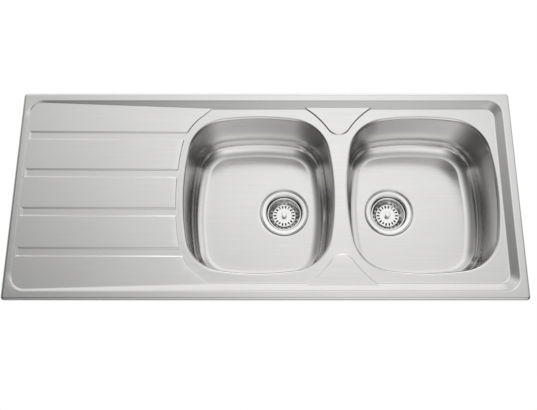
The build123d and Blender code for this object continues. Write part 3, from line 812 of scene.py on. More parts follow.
@dataclass(frozen=True)
class MouldedPlastic(Finish):
    """White polypropylene of the waste bodies and the overflow."""

    def dress(self, graph: Graph) -> None:
        """Add flow marks and the fine spark texture of the mould.

        Args:
            graph: the material's tree.
        """
        flow = graph.noise((30, 30, 12), 4)
        self.tint(graph, graph.spread(flow, 0, 1), 0.94, 1.02)
        self.roughen(graph, flow, 0.05, 0.07)
        graph.feed("Normal", graph.bump(graph.noise((1500, 1500, 1500), 2), 0.25, 0.0001))


SATIN = SatinSteel("brushed_pressing", "satin_steel", (0.76, 0.755, 0.745), 1.0, 0.17)
ZINC = ZincPlate("zinc_coat", "zinc_plate", (0.62, 0.63, 0.62), 1.0, 0.36)
RUBBER = GrainedSoft("black_rubber", "seal_rubber", (0.035, 0.035, 0.037), 0.0, 0.62, 1400.0, 0.00008, 0.4)
FOAM = GrainedSoft("grey_foam", "foam_strip", (0.16, 0.165, 0.17), 0.0, 0.9, 1100.0, 0.0004, 0.8)
BITUMEN = GrainedSoft("bitumen_felt", "bitumen_pad", (0.075, 0.075, 0.08), 0.0, 0.85, 260.0, 0.0006, 0.9)
PLASTIC = MouldedPlastic("white_moulding", "moulded_plastic", (0.84, 0.84, 0.82), 0.0, 0.38)


def finish_piece(made: bpy.types.Object, finish: Finish, body: str, *nodes: str) -> None:
    """Dress a piece, let it ride on its body and stand for its nodes.

    Args:
        made: the finished piece.
        finish: its material.
        body: CAD body that carries it.
        nodes: CAD nodes that it replaces.
    """
    made.data.materials.clear()
    made.data.materials.append(finish.material())
    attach(made, body)
    for node in nodes:
        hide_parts(node)
    LOG.info("%s: %d faces on %s", made.name, len(made.data.polygons), body)


def dress_node(node: str, suffix: str, edge: float, finish: Finish, body: str = SINK_BODY) -> None:
    """Soften a CAD node and let the result stand for it.

    Args:
        node: name of the CAD node.
        suffix: end of the new piece's name.
        edge: width of its broken edges in millimetres.
        finish: its material.
        body: CAD body that carries it.
    """
    finish_piece(softened(node, f"{node}_{suffix}", edge), finish, body, node)


# ------------------------------------------------------------------------ geometry nodes
class GrowTree(NodeTree):
    """Geometry node tree with named inputs.

    Args:
        name: name of the tree.
    """

    def __init__(self, name: str) -> None:
        """Start the tree with its geometry input and output.

        Args:
            name: name of the tree.
        """
        super().__init__(bpy.data.node_groups.new(name, "GeometryNodeTree"))
        for way in ("INPUT", "OUTPUT"):
            self.tree.interface.new_socket("Geometry", in_out=way, socket_type="NodeSocketGeometry")
        self.source = self.add("NodeGroupInput")

    def size(self, name: str, kind: str = "Float") -> Socket:
        """Add a named input and return its socket on the input node."""
        self.tree.interface.new_socket(name, in_out="INPUT", socket_type=f"NodeSocket{kind}")
        return self.source.outputs[name]

    def sizes(self, *names: str) -> list[Socket]:
        """Add a named number input for each name."""
        return [self.size(name) for name in names]

    def copies(self, points: Socket, instance: Socket, rotation: Value) -> Socket:
        """Stand a turned copy on each point."""
        inputs = {"Points": points, "Instance": instance, "Rotation": rotation}
        return self.add("GeometryNodeInstanceOnPoints", inputs).outputs["Instances"]

    def on_ring(self, count: Socket, radius: Socket, instance: Socket) -> Socket:
        """Stand copies on a level ring, each with its x axis outwards.

        Args:
            count: number of copies.
            radius: radius of the ring about the origin.
            instance: what is copied.

        Returns:
            The copies.
        """
        ring = self.add("GeometryNodeMeshCircle", {"Vertices": count, "Radius": radius})
        where = self.add("GeometryNodeInputPosition").outputs[0]
        turn = self.add("FunctionNodeAlignRotationToVector", {"Vector": where}, axis="X", pivot_axis="Z")
        return self.copies(ring.outputs["Mesh"], instance, turn.outputs["Rotation"])

    def moved(self, what: Socket, where: Socket, rotation: Value = (0, 0, 0)) -> Socket:
        """Turn geometry about the origin and move it."""
        inputs = {"Geometry": what, "Translation": where, "Rotation": rotation}
        return self.add("GeometryNodeTransform", inputs).outputs["Geometry"]

    def joined(self, *parts: Socket) -> Socket:
        """Several geometries in one."""
        both = self.add("GeometryNodeJoinGeometry")
        for part in parts:
            self.plug(part, both.inputs["Geometry"])
        return both.outputs["Geometry"]

    def realized(self, what: Socket) -> Socket:
        """Geometry with its copies made real."""
        return self.add("GeometryNodeRealizeInstances", {"Geometry": what}).outputs["Geometry"]

    def cut(self, tool: Socket) -> Socket:
        """The object's own mesh without what the tool's copies cover."""
        inputs = {"Mesh 1": self.source.outputs["Geometry"], "Mesh 2": self.realized(tool)}
        return self.add("GeometryNodeMeshBoolean", inputs, operation="DIFFERENCE",
                        solver="EXACT").outputs["Mesh"]

    def close(self, geometry_out: Socket) -> bpy.types.GeometryNodeTree:
        """End the tree in Realize Instances and Set Material.

        Args:
            geometry_out: what the tree makes.

        Returns:
            The finished tree.
        """
        inputs = {"Geometry": self.realized(geometry_out), "Material": self.size("Material", "Material")}
        dressed = self.add("GeometryNodeSetMaterial", inputs)
        self.add("NodeGroupOutput", {"Geometry": dressed.outputs["Geometry"]})
        return self.tree


def slots_tree(grow: GrowTree) -> Socket:
    """Cut round-ended slots on a level ring through a plate or dish.

    Args:
        grow: the tree that is filled.

    Returns:
        The pierced mesh.
    """
    count, centre = grow.size("Count", "Int"), grow.size("Centre", "Vector")
    ring_r, depth, turn = grow.sizes("Ring Radius", "Depth", "Turn")
    length, width = grow.sizes("Slot Length", "Slot Width")
    outline = grow.add("GeometryNodeCurvePrimitiveQuadrilateral", {"Width": length, "Height": width})
    rounded = grow.add("GeometryNodeFilletCurve", {
        "Curve": outline.outputs["Curve"], "Radius": grow.maths("MULTIPLY", width, 0.499), "Count": 5,
    }, mode="POLY")
    lid = grow.add("GeometryNodeFillCurve", {"Curve": rounded.outputs["Curve"]}, mode="NGONS").outputs["Mesh"]
    block = grow.add("GeometryNodeExtrudeMesh", {"Mesh": lid, "Offset Scale": depth, "Individual": False})
    foot = grow.add("GeometryNodeFlipFaces", {"Mesh": lid})
    cutter = grow.add("GeometryNodeMergeByDistance", {
        "Geometry": grow.joined(block.outputs["Mesh"], foot.outputs["Mesh"]), "Distance": 1e-6})
    placed = grow.on_ring(count, ring_r, cutter.outputs["Geometry"])
    start = grow.add("ShaderNodeCombineXYZ", {"Z": turn}).outputs[0]
    return grow.cut(grow.moved(placed, centre, start))


def holes_tree(grow: GrowTree) -> Socket:
    """Drill a level row of round holes, side by side along y, through an upright wall.

    Args:
        grow: the tree that is filled.

    Returns:
        The drilled mesh.
    """
    count, first = grow.size("Count", "Int"), grow.size("First", "Vector")
    pitch, radius, depth = grow.sizes("Pitch", "Radius", "Depth")
    step = grow.add("ShaderNodeCombineXYZ", {"Y": pitch}).outputs[0]
    row = grow.add("GeometryNodeMeshLine", {"Count": count, "Start Location": first, "Offset": step},
                   mode="OFFSET")
    drill = grow.add("GeometryNodeMeshCylinder", {"Vertices": 24, "Radius": radius, "Depth": depth})
    return grow.cut(grow.copies(row.outputs["Mesh"], drill.outputs["Mesh"], (0, math.pi / 2, 0)))


def thread_tree(grow: GrowTree) -> Socket:
    """Wind a thread's ridge round an upright axis.

    Args:
        grow: the tree that is filled.

    Returns:
        The ridge and what it is wound on.
    """
    radius, ridge, turns, height = grow.sizes("Radius", "Ridge", "Turns", "Height")
    helix = grow.add("GeometryNodeCurveSpiral", {
        "Resolution": 24, "Rotations": turns, "Start Radius": radius, "End Radius": radius, "Height": height})
    section = grow.add("GeometryNodeCurvePrimitiveCircle", {"Resolution": 4, "Radius": ridge})
    wound = grow.add("GeometryNodeCurveToMesh", {
        "Curve": helix.outputs["Curve"], "Profile Curve": section.outputs["Curve"], "Fill Caps": True})
    placed = grow.moved(wound.outputs["Mesh"], grow.size("Foot", "Vector"))
    return grow.joined(placed, grow.source.outputs["Geometry"])


def ribs_tree(grow: GrowTree) -> Socket:
    """Stand grip ribs round an upright axis.

    Args:
        grow: the tree that is filled.

    Returns:
        The ribs and the piece they stand on.
    """
    count, ring_r = grow.size("Count", "Int"), grow.size("Ring Radius")
    rib = grow.add("GeometryNodeMeshCube", {
        "Size": grow.size("Rib Size", "Vector"), "Vertices X": 2, "Vertices Y": 2, "Vertices Z": 2})
    placed = grow.on_ring(count, ring_r, rib.outputs["Mesh"])
    return grow.joined(grow.moved(placed, grow.size("Centre", "Vector")), grow.source.outputs["Geometry"])


class Growth(Enum):
    """The node trees that make what repeats."""

    SLOTS = "slots_round_an_axis"
    HOLES = "row_of_holes"
    THREAD = "screw_thread"
    RIBS = "ribs_round_an_axis"

    def tree(self) -> bpy.types.GeometryNodeTree:
        """Build the tree, the first time.

        Returns:
            The tree.
        """
        found = bpy.data.node_groups.get(self.value)
        if found is None:
            builders = {Growth.SLOTS: slots_tree, Growth.HOLES: holes_tree,
                        Growth.THREAD: thread_tree, Growth.RIBS: ribs_tree}
            grow = GrowTree(self.value)
            found = grow.close(builders[self](grow))
        return found

    def grow(self, made: bpy.types.Object, **sizes) -> None:
        """Run the tree on an object and keep the result as its plain mesh.

        Args:
            made: the object, whose mesh goes in.
            sizes: the tree's inputs by name, with underscores for spaces.
        """
        modifier = made.modifiers.new(self.value, "NODES")
        modifier.node_group = self.tree()
        named = {key.replace("_", " ").title(): value for key, value in sizes.items()}
        for socket in modifier.node_group.interface.items_tree:
            if socket.in_out == "INPUT" and socket.name in named:
                modifier[socket.identifier] = named.pop(socket.name)
        assert not named, f"{self.value} has no input {sorted(named)}"
        bake_modifiers(made)


# ---------------------------------------------------------------------------------- deck
@dataclass
class Deck:
    """The pressed top: rolled rim, recess, drainer panels with grooves and the bowls' lips.

    Args:
        bowls: outlines of the two bowls.
    """

    bowls: dict[str, BowlOutline]
    gauge: float = 1.0
    rim_top: float = 5.0
    roll_r: float = 7.0
    roll_end_deg: float = 66.4
    under_roll_deg: float = 60.0
    corner_r: float = 8.0
    hem_width: float = 3.5
    lip: RoundedBox = RoundedBox(-562.0, 561.5, 229.8, 32.0)
    foot: RoundedBox = RoundedBox(-556.0, 542.0, 211.0, 22.0)
    surround_z: float = -4.0
    crease: float = 0.10
    panel_rise: float = 2.0
    drain_left: tuple[float, float] = (-555.0, 3.3)
    drain_right_x: float = -205.0
    fall_end_x: float = -95.0
    fall_creases: tuple[float, ...] = (-0.09, -0.05, 0.0, 0.05, 0.09)
    groove_pitch: float = 94.0
    groove_count: int = 4
    groove_half: float = 10.5
    groove_floor_half: float = 7.5
    groove_left_x: float = -557.0
    groove_left_depth: float = 3.0
    groove_crease: float = 0.9
    wall_run: float = 3.0
    press_blend: float = 0.5
    bowl_lip_r: float = 7.0
    apron: tuple = ((188, 0), (176, 127), (160, 162), (128, 196), (116, 207), (103, 217))
    tip_half_x: float = 25.0
    tip_side_y: float = 158.0
    tip_y: float = 144.4
    tip_arm: tuple[float, float] = (140.5, 187.5)
    grid_pitch: float = 24.0
    grid_reach: tuple[float, float] = (552.0, 216.0)

    def __post_init__(self) -> None:
        """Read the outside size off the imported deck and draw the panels' edges."""
        low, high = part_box("deck")
        self.half_x, self.half_y = (high.x - low.x) / 2 / MM, (high.y - low.y) / 2 / MM
        self.drainer_edge = self.draw_drainer_edge()
        self.tip_edge = self.draw_tip_edge()
        beyond = 12  # the areas reach past the recess, where its wall is higher than they are
        far_x, far_y = self.lip.low_x - beyond, self.lip.half_y + beyond
        near_x = self.drainer_edge[-1][0] + beyond
        self.drainer_area = np.vstack([
            self.drainer_edge, (near_x, far_y), (far_x, far_y), (far_x, -far_y), (near_x, -far_y)])
        left_x, right_x = self.tip_edge[0][0] - 8, self.tip_edge[-1][0] + 8
        self.tip_area = np.vstack([self.tip_edge, (right_x, far_y), (left_x, far_y)])

    def draw_drainer_edge(self) -> np.ndarray:
        """Draw the right-hand edge of the drainer's raised steel.

        Returns:
            Its points, from the front to the back.
        """
        side, side_end, bend, bend_end, flare, top = (np.array(p, float) for p in self.apron)
        back = np.vstack([
            arc_through(side_end, bend, bend_end, 14),
            arc_through(bend_end, flare, top, 8)[1:],
        ])
        front = back[::-1] * (1, -1)
        middle = arc_through(side_end * (1, -1), side, side_end, 20)[1:-1]
        return np.vstack([front, middle, back]) * (-1, 1) + (self.bowls["left"].centre_x, 0)

    def draw_tip_edge(self) -> np.ndarray:
        """Draw the edge of the raised panel between the bowls at the back.

        Returns:
            Its points, from left to right.
        """
        left, right = self.bowls["left"].centre_x, self.bowls["right"].centre_x
        middle = (left + right) / 2
        top = self.apron[-1]
        arm = arc_through((left + top[0], top[1]), (left + self.tip_arm[0], self.tip_arm[1]),
                          (middle - self.tip_half_x, self.tip_side_y), 14)
        tip = arc_through(arm[-1], (middle, self.tip_y), (middle + self.tip_half_x, self.tip_side_y), 12)
        other = (arm[::-1] - (middle, 0)) * (-1, 1) + (middle, 0)
        return np.vstack([arm, tip[1:-1], other])

    def fall(self, x: np.ndarray, left_z: float, right_z: float) -> np.ndarray:
        """Height of a plane that falls along the drainer."""
        left_x = self.drain_left[0]
        return left_z + (right_z - left_z) * (x - left_x) / (self.drain_right_x - left_x)

    def drainer_top(self, x: np.ndarray) -> np.ndarray:
        """Height of the drainer's falling plane."""
        return self.fall(x, self.drain_left[1], self.surround_z + self.panel_rise)

    def groove_bottom(self, x: np.ndarray) -> np.ndarray:
        """Height of the grooves' floors."""
        return self.fall(x, self.drain_left[1] - self.groove_left_depth, self.surround_z)

    def groove_rows(self) -> list[float]:
        """Places of the grooves' centre lines."""
        middle = (self.groove_count - 1) / 2
        return [(row - middle) * self.groove_pitch for row in range(self.groove_count)]

    def recess_share(self, x: np.ndarray, y: np.ndarray) -> np.ndarray:
        """How far down the recess's wall a point is: 0 at its lip and 1 at its foot."""
        inside, outside = -self.lip.distance(x, y), self.foot.distance(x, y)
        return inside / (inside + outside)

    def height(self, x: np.ndarray, y: np.ndarray) -> np.ndarray:
        """Height of the pressed surface, without the roll and the bowls' lips.

        Args:
            x: first coordinates.
            y: second coordinates.

        Returns:
            Heights in millimetres.
        """
        share, blend = self.recess_share(x, y), self.press_blend
        share = soft_min(soft_max(share, 0 * share, self.crease), 1 + 0 * share, self.crease)
        recess = self.rim_top + (self.surround_z - self.rim_top) * share
        top, bottom = self.drainer_top(x), self.groove_bottom(x)
        off_row = np.abs(y[:, None] - np.array(self.groove_rows())).min(1)
        wall_end = self.groove_left_x + self.wall_run
        climb = np.maximum(off_row - self.groove_floor_half, wall_end - x) / self.wall_run
        panel = soft_max(soft_min(top, bottom + (top - bottom) * climb, blend), bottom, blend)
        panel = soft_min(panel, self.surround_z + distance_inside(x, y, self.drainer_area), blend)
        tips = self.surround_z + distance_inside(x, np.abs(y), self.tip_area)
        tips = soft_min(self.surround_z + self.panel_rise + 0 * x, tips, blend)
        return soft_max(soft_max(recess, panel, blend), tips, blend)

    def normals(self, x: np.ndarray, y: np.ndarray) -> np.ndarray:
        """Directions that the pressed surface faces.

        Args:
            x: first coordinates.
            y: second coordinates.

        Returns:
            Upward unit normals.
        """
        step = 0.08
        slope_x = (self.height(x + step, y) - self.height(x - step, y)) / (2 * step)
        slope_y = (self.height(x, y + step) - self.height(x, y - step)) / (2 * step)
        up = np.column_stack([-slope_x, -slope_y, np.ones(len(x))])
        return up / np.linalg.norm(up, axis=1)[:, None]

    def recess_lines(self) -> list[tuple[np.ndarray, bool]]:
        """Follow the recess's wall, and the line where it meets the falling plane of the drainer.

        Returns:
            Points of each line, and whether it is closed.
        """
        c = self.crease
        lip, foot = (box.ring(60, 26, 12) for box in (self.lip, self.foot))
        shares = [c * step for step in CREASE_STEPS]
        shares += [0.3, 0.5, 0.7, 1 - c, 1 - c / 2, 1, 1 + c / 2, 1 + c]
        lines = [(lip + share * (foot - lip), True) for share in shares]
        meet = np.full(len(lip), 0.5)
        for _ in range(6):
            x = (lip + meet[:, None] * (foot - lip))[:, 0]
            meet = np.minimum((self.rim_top - self.drainer_top(x)) / (self.rim_top - self.surround_z), 1.0)
        for extra in self.fall_creases:
            points = lip + (meet + extra)[:, None] * (foot - lip)
            keep = points[:, 0] < self.fall_end_x
            first = int(np.argmax(keep & ~np.roll(keep, 1)))
            lines.append((np.roll(points, -first, axis=0)[:int(keep.sum())], False))
        return lines

    def panel_lines(self) -> list[tuple[np.ndarray, bool]]:
        """Follow the edges of the drainer and of the panels between the bowls.

        Returns:
            Points of each line, and whether it is closed.
        """
        lines, blend = [], self.press_blend
        edge = self.drainer_edge[np.abs(self.drainer_edge[:, 1]) < self.lip.half_y + 1]
        rise = self.drainer_top(edge[:, 0]) - self.surround_z
        for step in CREASE_STEPS:
            lines.append((offset_line(edge, -step * blend), False))
            lines.append((offset_line(edge, rise + step * blend), False))
        inwards = [step * blend for step in CREASE_STEPS] + [1.0, 1.5, 2.0, 2.0 + blend]
        for side in (1, -1):
            lines += [(offset_line(self.tip_edge, inward) * (1, side), False) for inward in inwards]
        return lines

    def groove_lines(self) -> list[tuple[np.ndarray, bool]]:
        """Follow the walls of the grooves, along them and across their left ends.

        Returns:
            Points of each line, and whether it is closed.
        """
        lines = []
        extras = [step * self.groove_crease for step in CREASE_STEPS]
        back_edge = self.drainer_edge[-24:]
        for row in self.groove_rows():
            end = self.drain_right_x + 4
            if abs(row) > self.groove_pitch:
                end = np.interp(abs(row), back_edge[:, 1], back_edge[:, 0]) + 3
            run = np.linspace(self.groove_left_x - 1, end, 16)
            across = np.linspace(row - self.groove_half - 1, row + self.groove_half + 1, 12)
            for half in (self.groove_floor_half, self.groove_half):
                for extra in extras:
                    for side in (1, -1):
                        y = row + side * (half + extra)
                        lines.append((np.column_stack([run, np.full(len(run), y)]), False))
            for start in (self.groove_left_x, self.groove_left_x + self.wall_run):
                for extra in extras:
                    lines.append((np.column_stack([np.full(len(across), start + extra), across]), False))
        return lines

    def plan_mesh(self, edges_in: list[np.ndarray]) -> tuple[np.ndarray, np.ndarray, list[np.ndarray]]:
        """Triangulate the steel between the roll and the bowls' lips.

        Args:
            edges_in: the closed rings that bound it.

        Returns:
            Points in plan, triangles and the numbers of each bounding ring's points.
        """
        lines = [(ring, True) for ring in edges_in]
        lines += self.recess_lines() + self.panel_lines() + self.groove_lines()
        lines += [(bowl.ring(bowl.angles(), self.bowl_lip_r + 1.5), True) for bowl in self.bowls.values()]
        points, edges, starts = [], [], []
        for line, closed in lines:
            first = len(points)
            starts.append(first)
            points += line.tolist()
            last = len(points)
            edges += [(n, n + 1) for n in range(first, last - 1)]
            if closed:
                edges.append((last - 1, first))
        across, along = (np.arange(-reach, reach + 1, self.grid_pitch) for reach in self.grid_reach)
        spare = np.array([(x, y) for x in across for y in along])
        clear = np.ones(len(spare), bool)
        for bowl in self.bowls.values():
            clear &= bowl.distance(spare[:, 0], spare[:, 1]) > self.bowl_lip_r + 4
        points += spare[clear].tolist()
        found = geometry.delaunay_2d_cdt([Vector(p) for p in points], edges, [], 0, 1e-3)
        flat = np.array([tuple(v) for v in found[0]])
        triangles = np.array(found[2])
        a, b, c = (flat[triangles[:, k]] for k in range(3))
        area = (b[:, 0] - a[:, 0]) * (c[:, 1] - a[:, 1]) - (b[:, 1] - a[:, 1]) * (c[:, 0] - a[:, 0])
        triangles[area < 0] = triangles[area < 0][:, ::-1]
        middle = (a + b + c) / 3
        keep = np.abs(area) > 1e-9
        for bowl in self.bowls.values():
            keep &= bowl.distance(middle[:, 0], middle[:, 1]) > self.bowl_lip_r - 0.3
        number = {old: new for new, olds in enumerate(found[3]) for old in olds}
        rings = [np.array([number[start + n] for n in range(len(ring))])
                 for start, ring in zip(starts, edges_in)]
        return flat, triangles[keep], rings

    def edge_rings(self, places: list) -> list[tuple[np.ndarray, float]]:
        """Rings parallel to the outline.

        Args:
            places: distance inwards and height of each ring.

        Returns:
            Plan points and height of each ring.
        """
        rings = []
        for inset, z in places:
            box = RoundedBox(inset - self.half_x, self.half_x - inset, self.half_y - inset,
                             max(self.corner_r - inset, 0.3))
            rings.append((box.ring(60, 26, 8), z))
        return rings

    def build(self) -> bpy.types.Object:
        """Build the whole deck as one closed sheet.

        Returns:
            The dressed deck.
        """
        reach = math.sqrt(self.roll_r ** 2 - (self.roll_r - self.rim_top) ** 2)
        bounds = [self.edge_rings([(reach, self.rim_top)])[0][0]]
        bounds += [bowl.ring(bowl.angles(), self.bowl_lip_r) for bowl in self.bowls.values()]
        flat, triangles, rings = self.plan_mesh(bounds)
        up = self.normals(flat[:, 0], flat[:, 1])
        top = np.column_stack([flat, self.height(flat[:, 0], flat[:, 1])])
        count = len(flat)
        sheet = Sheet([top, top - self.gauge * up],
                      triangles.tolist() + (triangles[:, ::-1] + count).tolist())

        # rolled edge, folded back under itself at the worktop
        centre_z = self.rim_top - self.roll_r
        hem = [(0.06, 0.42), (0.0, 0.22), (0.16, 0.05), (0.5, 0.0), (self.hem_width - 0.3, 0.0),
               (self.hem_width, 0.25), (self.hem_width, 0.75), (self.hem_width - 0.3, self.gauge)]
        over = roll(reach, centre_z, self.roll_r, self.roll_end_deg, 8) + hem
        under = roll(reach, centre_z, self.roll_r - self.gauge, self.under_roll_deg, 6)
        outer = sheet.chain(rings[0], self.edge_rings(over))
        inner = sheet.chain(rings[0] + count, self.edge_rings(under), flip=True)
        sheet.faces += strip(outer, inner)

        # lips that turn down into the bowls
        centre_z = self.surround_z - self.bowl_lip_r
        for bowl, start in zip(self.bowls.values(), rings[1:]):
            ends = []
            for skin, last, flip in ((0.0, start, True), (self.gauge, start + count, False)):
                places = roll(self.bowl_lip_r, centre_z, self.bowl_lip_r - skin, 90, 10)
                places.append((skin, BOWL_TOP_Z))
                lip = [(bowl.ring(bowl.angles(), grow), z) for grow, z in places]
                ends.append(sheet.chain(last, lip, flip))
            sheet.faces += strip(ends[1], ends[0])

        made = mesh_object("deck_pressing", np.vstack(sheet.points), sheet.faces)
        made.data.shade_smooth()
        normals = np.zeros(len(made.data.vertices) * 3)
        made.data.vertices.foreach_get("normal", normals)
        normals = normals.reshape(-1, 3)
        normals[:count], normals[count:2 * count] = up, -up
        made.data.normals_split_custom_set_from_vertices(normals.tolist())
        finish_piece(made, SATIN, SINK_BODY, "deck")
        return made


# --------------------------------------------------------------------------------- bowls
@dataclass
class Bowl:
    """One deep-drawn bowl with the pressed seat of its waste.

    Args:
        side: left or right.
        outline: its outline just under the lip.
        waste_x: place of the waste's axis.
    """

    side: str
    outline: BowlOutline
    waste_x: float
    floor_z: float = -157.0
    draft_deg: float = 1.5
    floor_r: float = 36.0
    seat_top_r: float = 60.4
    seat_r: float = 58.4
    seat_depth: float = 3.5
    hole_r: float = 46.2
    gauge: float = 1.0
    overflow_y: float = -5.0
    overflow_z: float = -33.0
    overflow_pitch: float = 10.0
    overflow_rise: float = 9.0
    overflow_r: float = 2.6
    overflow_depth: float = 20.0

    def rings(self) -> list[tuple[np.ndarray, float]]:
        """Rings of the bowl, down its inside and back up its outside.

        Returns:
            Plan points and height of each ring.
        """
        angles = self.outline.angles()
        draft = math.radians(self.draft_deg)
        centre_z = self.floor_z + self.floor_r
        centre_grow = (centre_z - BOWL_TOP_Z) * math.tan(draft) - self.floor_r / math.cos(draft)
        inside, outside = [], []
        bend_z = centre_z - self.floor_r * math.sin(draft)
        for z in np.linspace(BOWL_TOP_Z, bend_z, 9)[:-1]:
            grow = (z - BOWL_TOP_Z) * math.tan(draft)
            inside.append((self.outline.ring(angles, grow), z))
            outside.append((self.outline.ring(angles, grow + self.gauge), z))
        for turn in np.linspace(draft, math.pi / 2, 25):
            for skin, radius in ((inside, self.floor_r), (outside, self.floor_r + self.gauge)):
                plan = self.outline.ring(angles, centre_grow + radius * math.cos(turn))
                skin.append((plan, centre_z - radius * math.sin(turn)))
        foot = inside[-1][0]
        away = foot - (self.waste_x, 0)
        round_waste = away / np.linalg.norm(away, axis=1)[:, None]
        brink = self.seat_top_r
        for share in (0.12, 0.25, 0.4, 0.6, 0.8, 0.93):
            plan = foot + share * (round_waste * (brink + 1.0) + (self.waste_x, 0) - foot)
            inside.append((plan, self.floor_z))
            outside.append((plan, self.floor_z - self.gauge))
        seat_z = self.floor_z - self.seat_depth
        under_offset = 0.4
        for radius, z in ((brink + 1.0, self.floor_z), (brink + 0.4, self.floor_z - 0.1),
                          (brink - 0.1, self.floor_z - 0.6), (self.seat_r + 0.3, seat_z + 0.5),
                          (self.seat_r - 0.2, seat_z + 0.1), (self.seat_r - 0.8, seat_z),
                          (self.hole_r, seat_z)):
            plan = round_waste * radius + (self.waste_x, 0)
            inside.append((plan, z))
            under = 0 if radius == self.hole_r else under_offset
            outside.append((plan + under * round_waste, z - self.gauge))
        return inside + outside[::-1]

    def drill_overflow(self, made: bpy.types.Object) -> None:
        """Drill the two rows of overflow holes through the right-hand wall."""
        wall_x = self.outline.centre_x + self.outline.half_x
        for row, holes in enumerate((3, 4)):
            z = self.overflow_z + (0.5 - row) * self.overflow_rise
            y = self.overflow_y - (holes - 1) / 2 * self.overflow_pitch
            Growth.HOLES.grow(made, count=holes, pitch=self.overflow_pitch * MM, radius=self.overflow_r * MM,
                              depth=self.overflow_depth * MM, first=(wall_x * MM, y * MM, z * MM))

    def build(self) -> bpy.types.Object:
        """Build the bowl as one closed sheet.

        Returns:
            The dressed bowl.
        """
        rings = self.rings()
        count = len(rings[0][0])
        points = np.vstack([np.column_stack([plan, np.full(count, z)]) for plan, z in rings])
        numbers = np.arange(len(points)).reshape(-1, count)
        made = mesh_object(f"{self.side}_bowl_pressing", points, tube_faces(numbers[::-1]))
        if self.side == "left":
            self.drill_overflow(made)
        smooth(made, 50)
        finish_piece(made, SATIN, SINK_BODY, f"{self.side}_bowl")
        return made


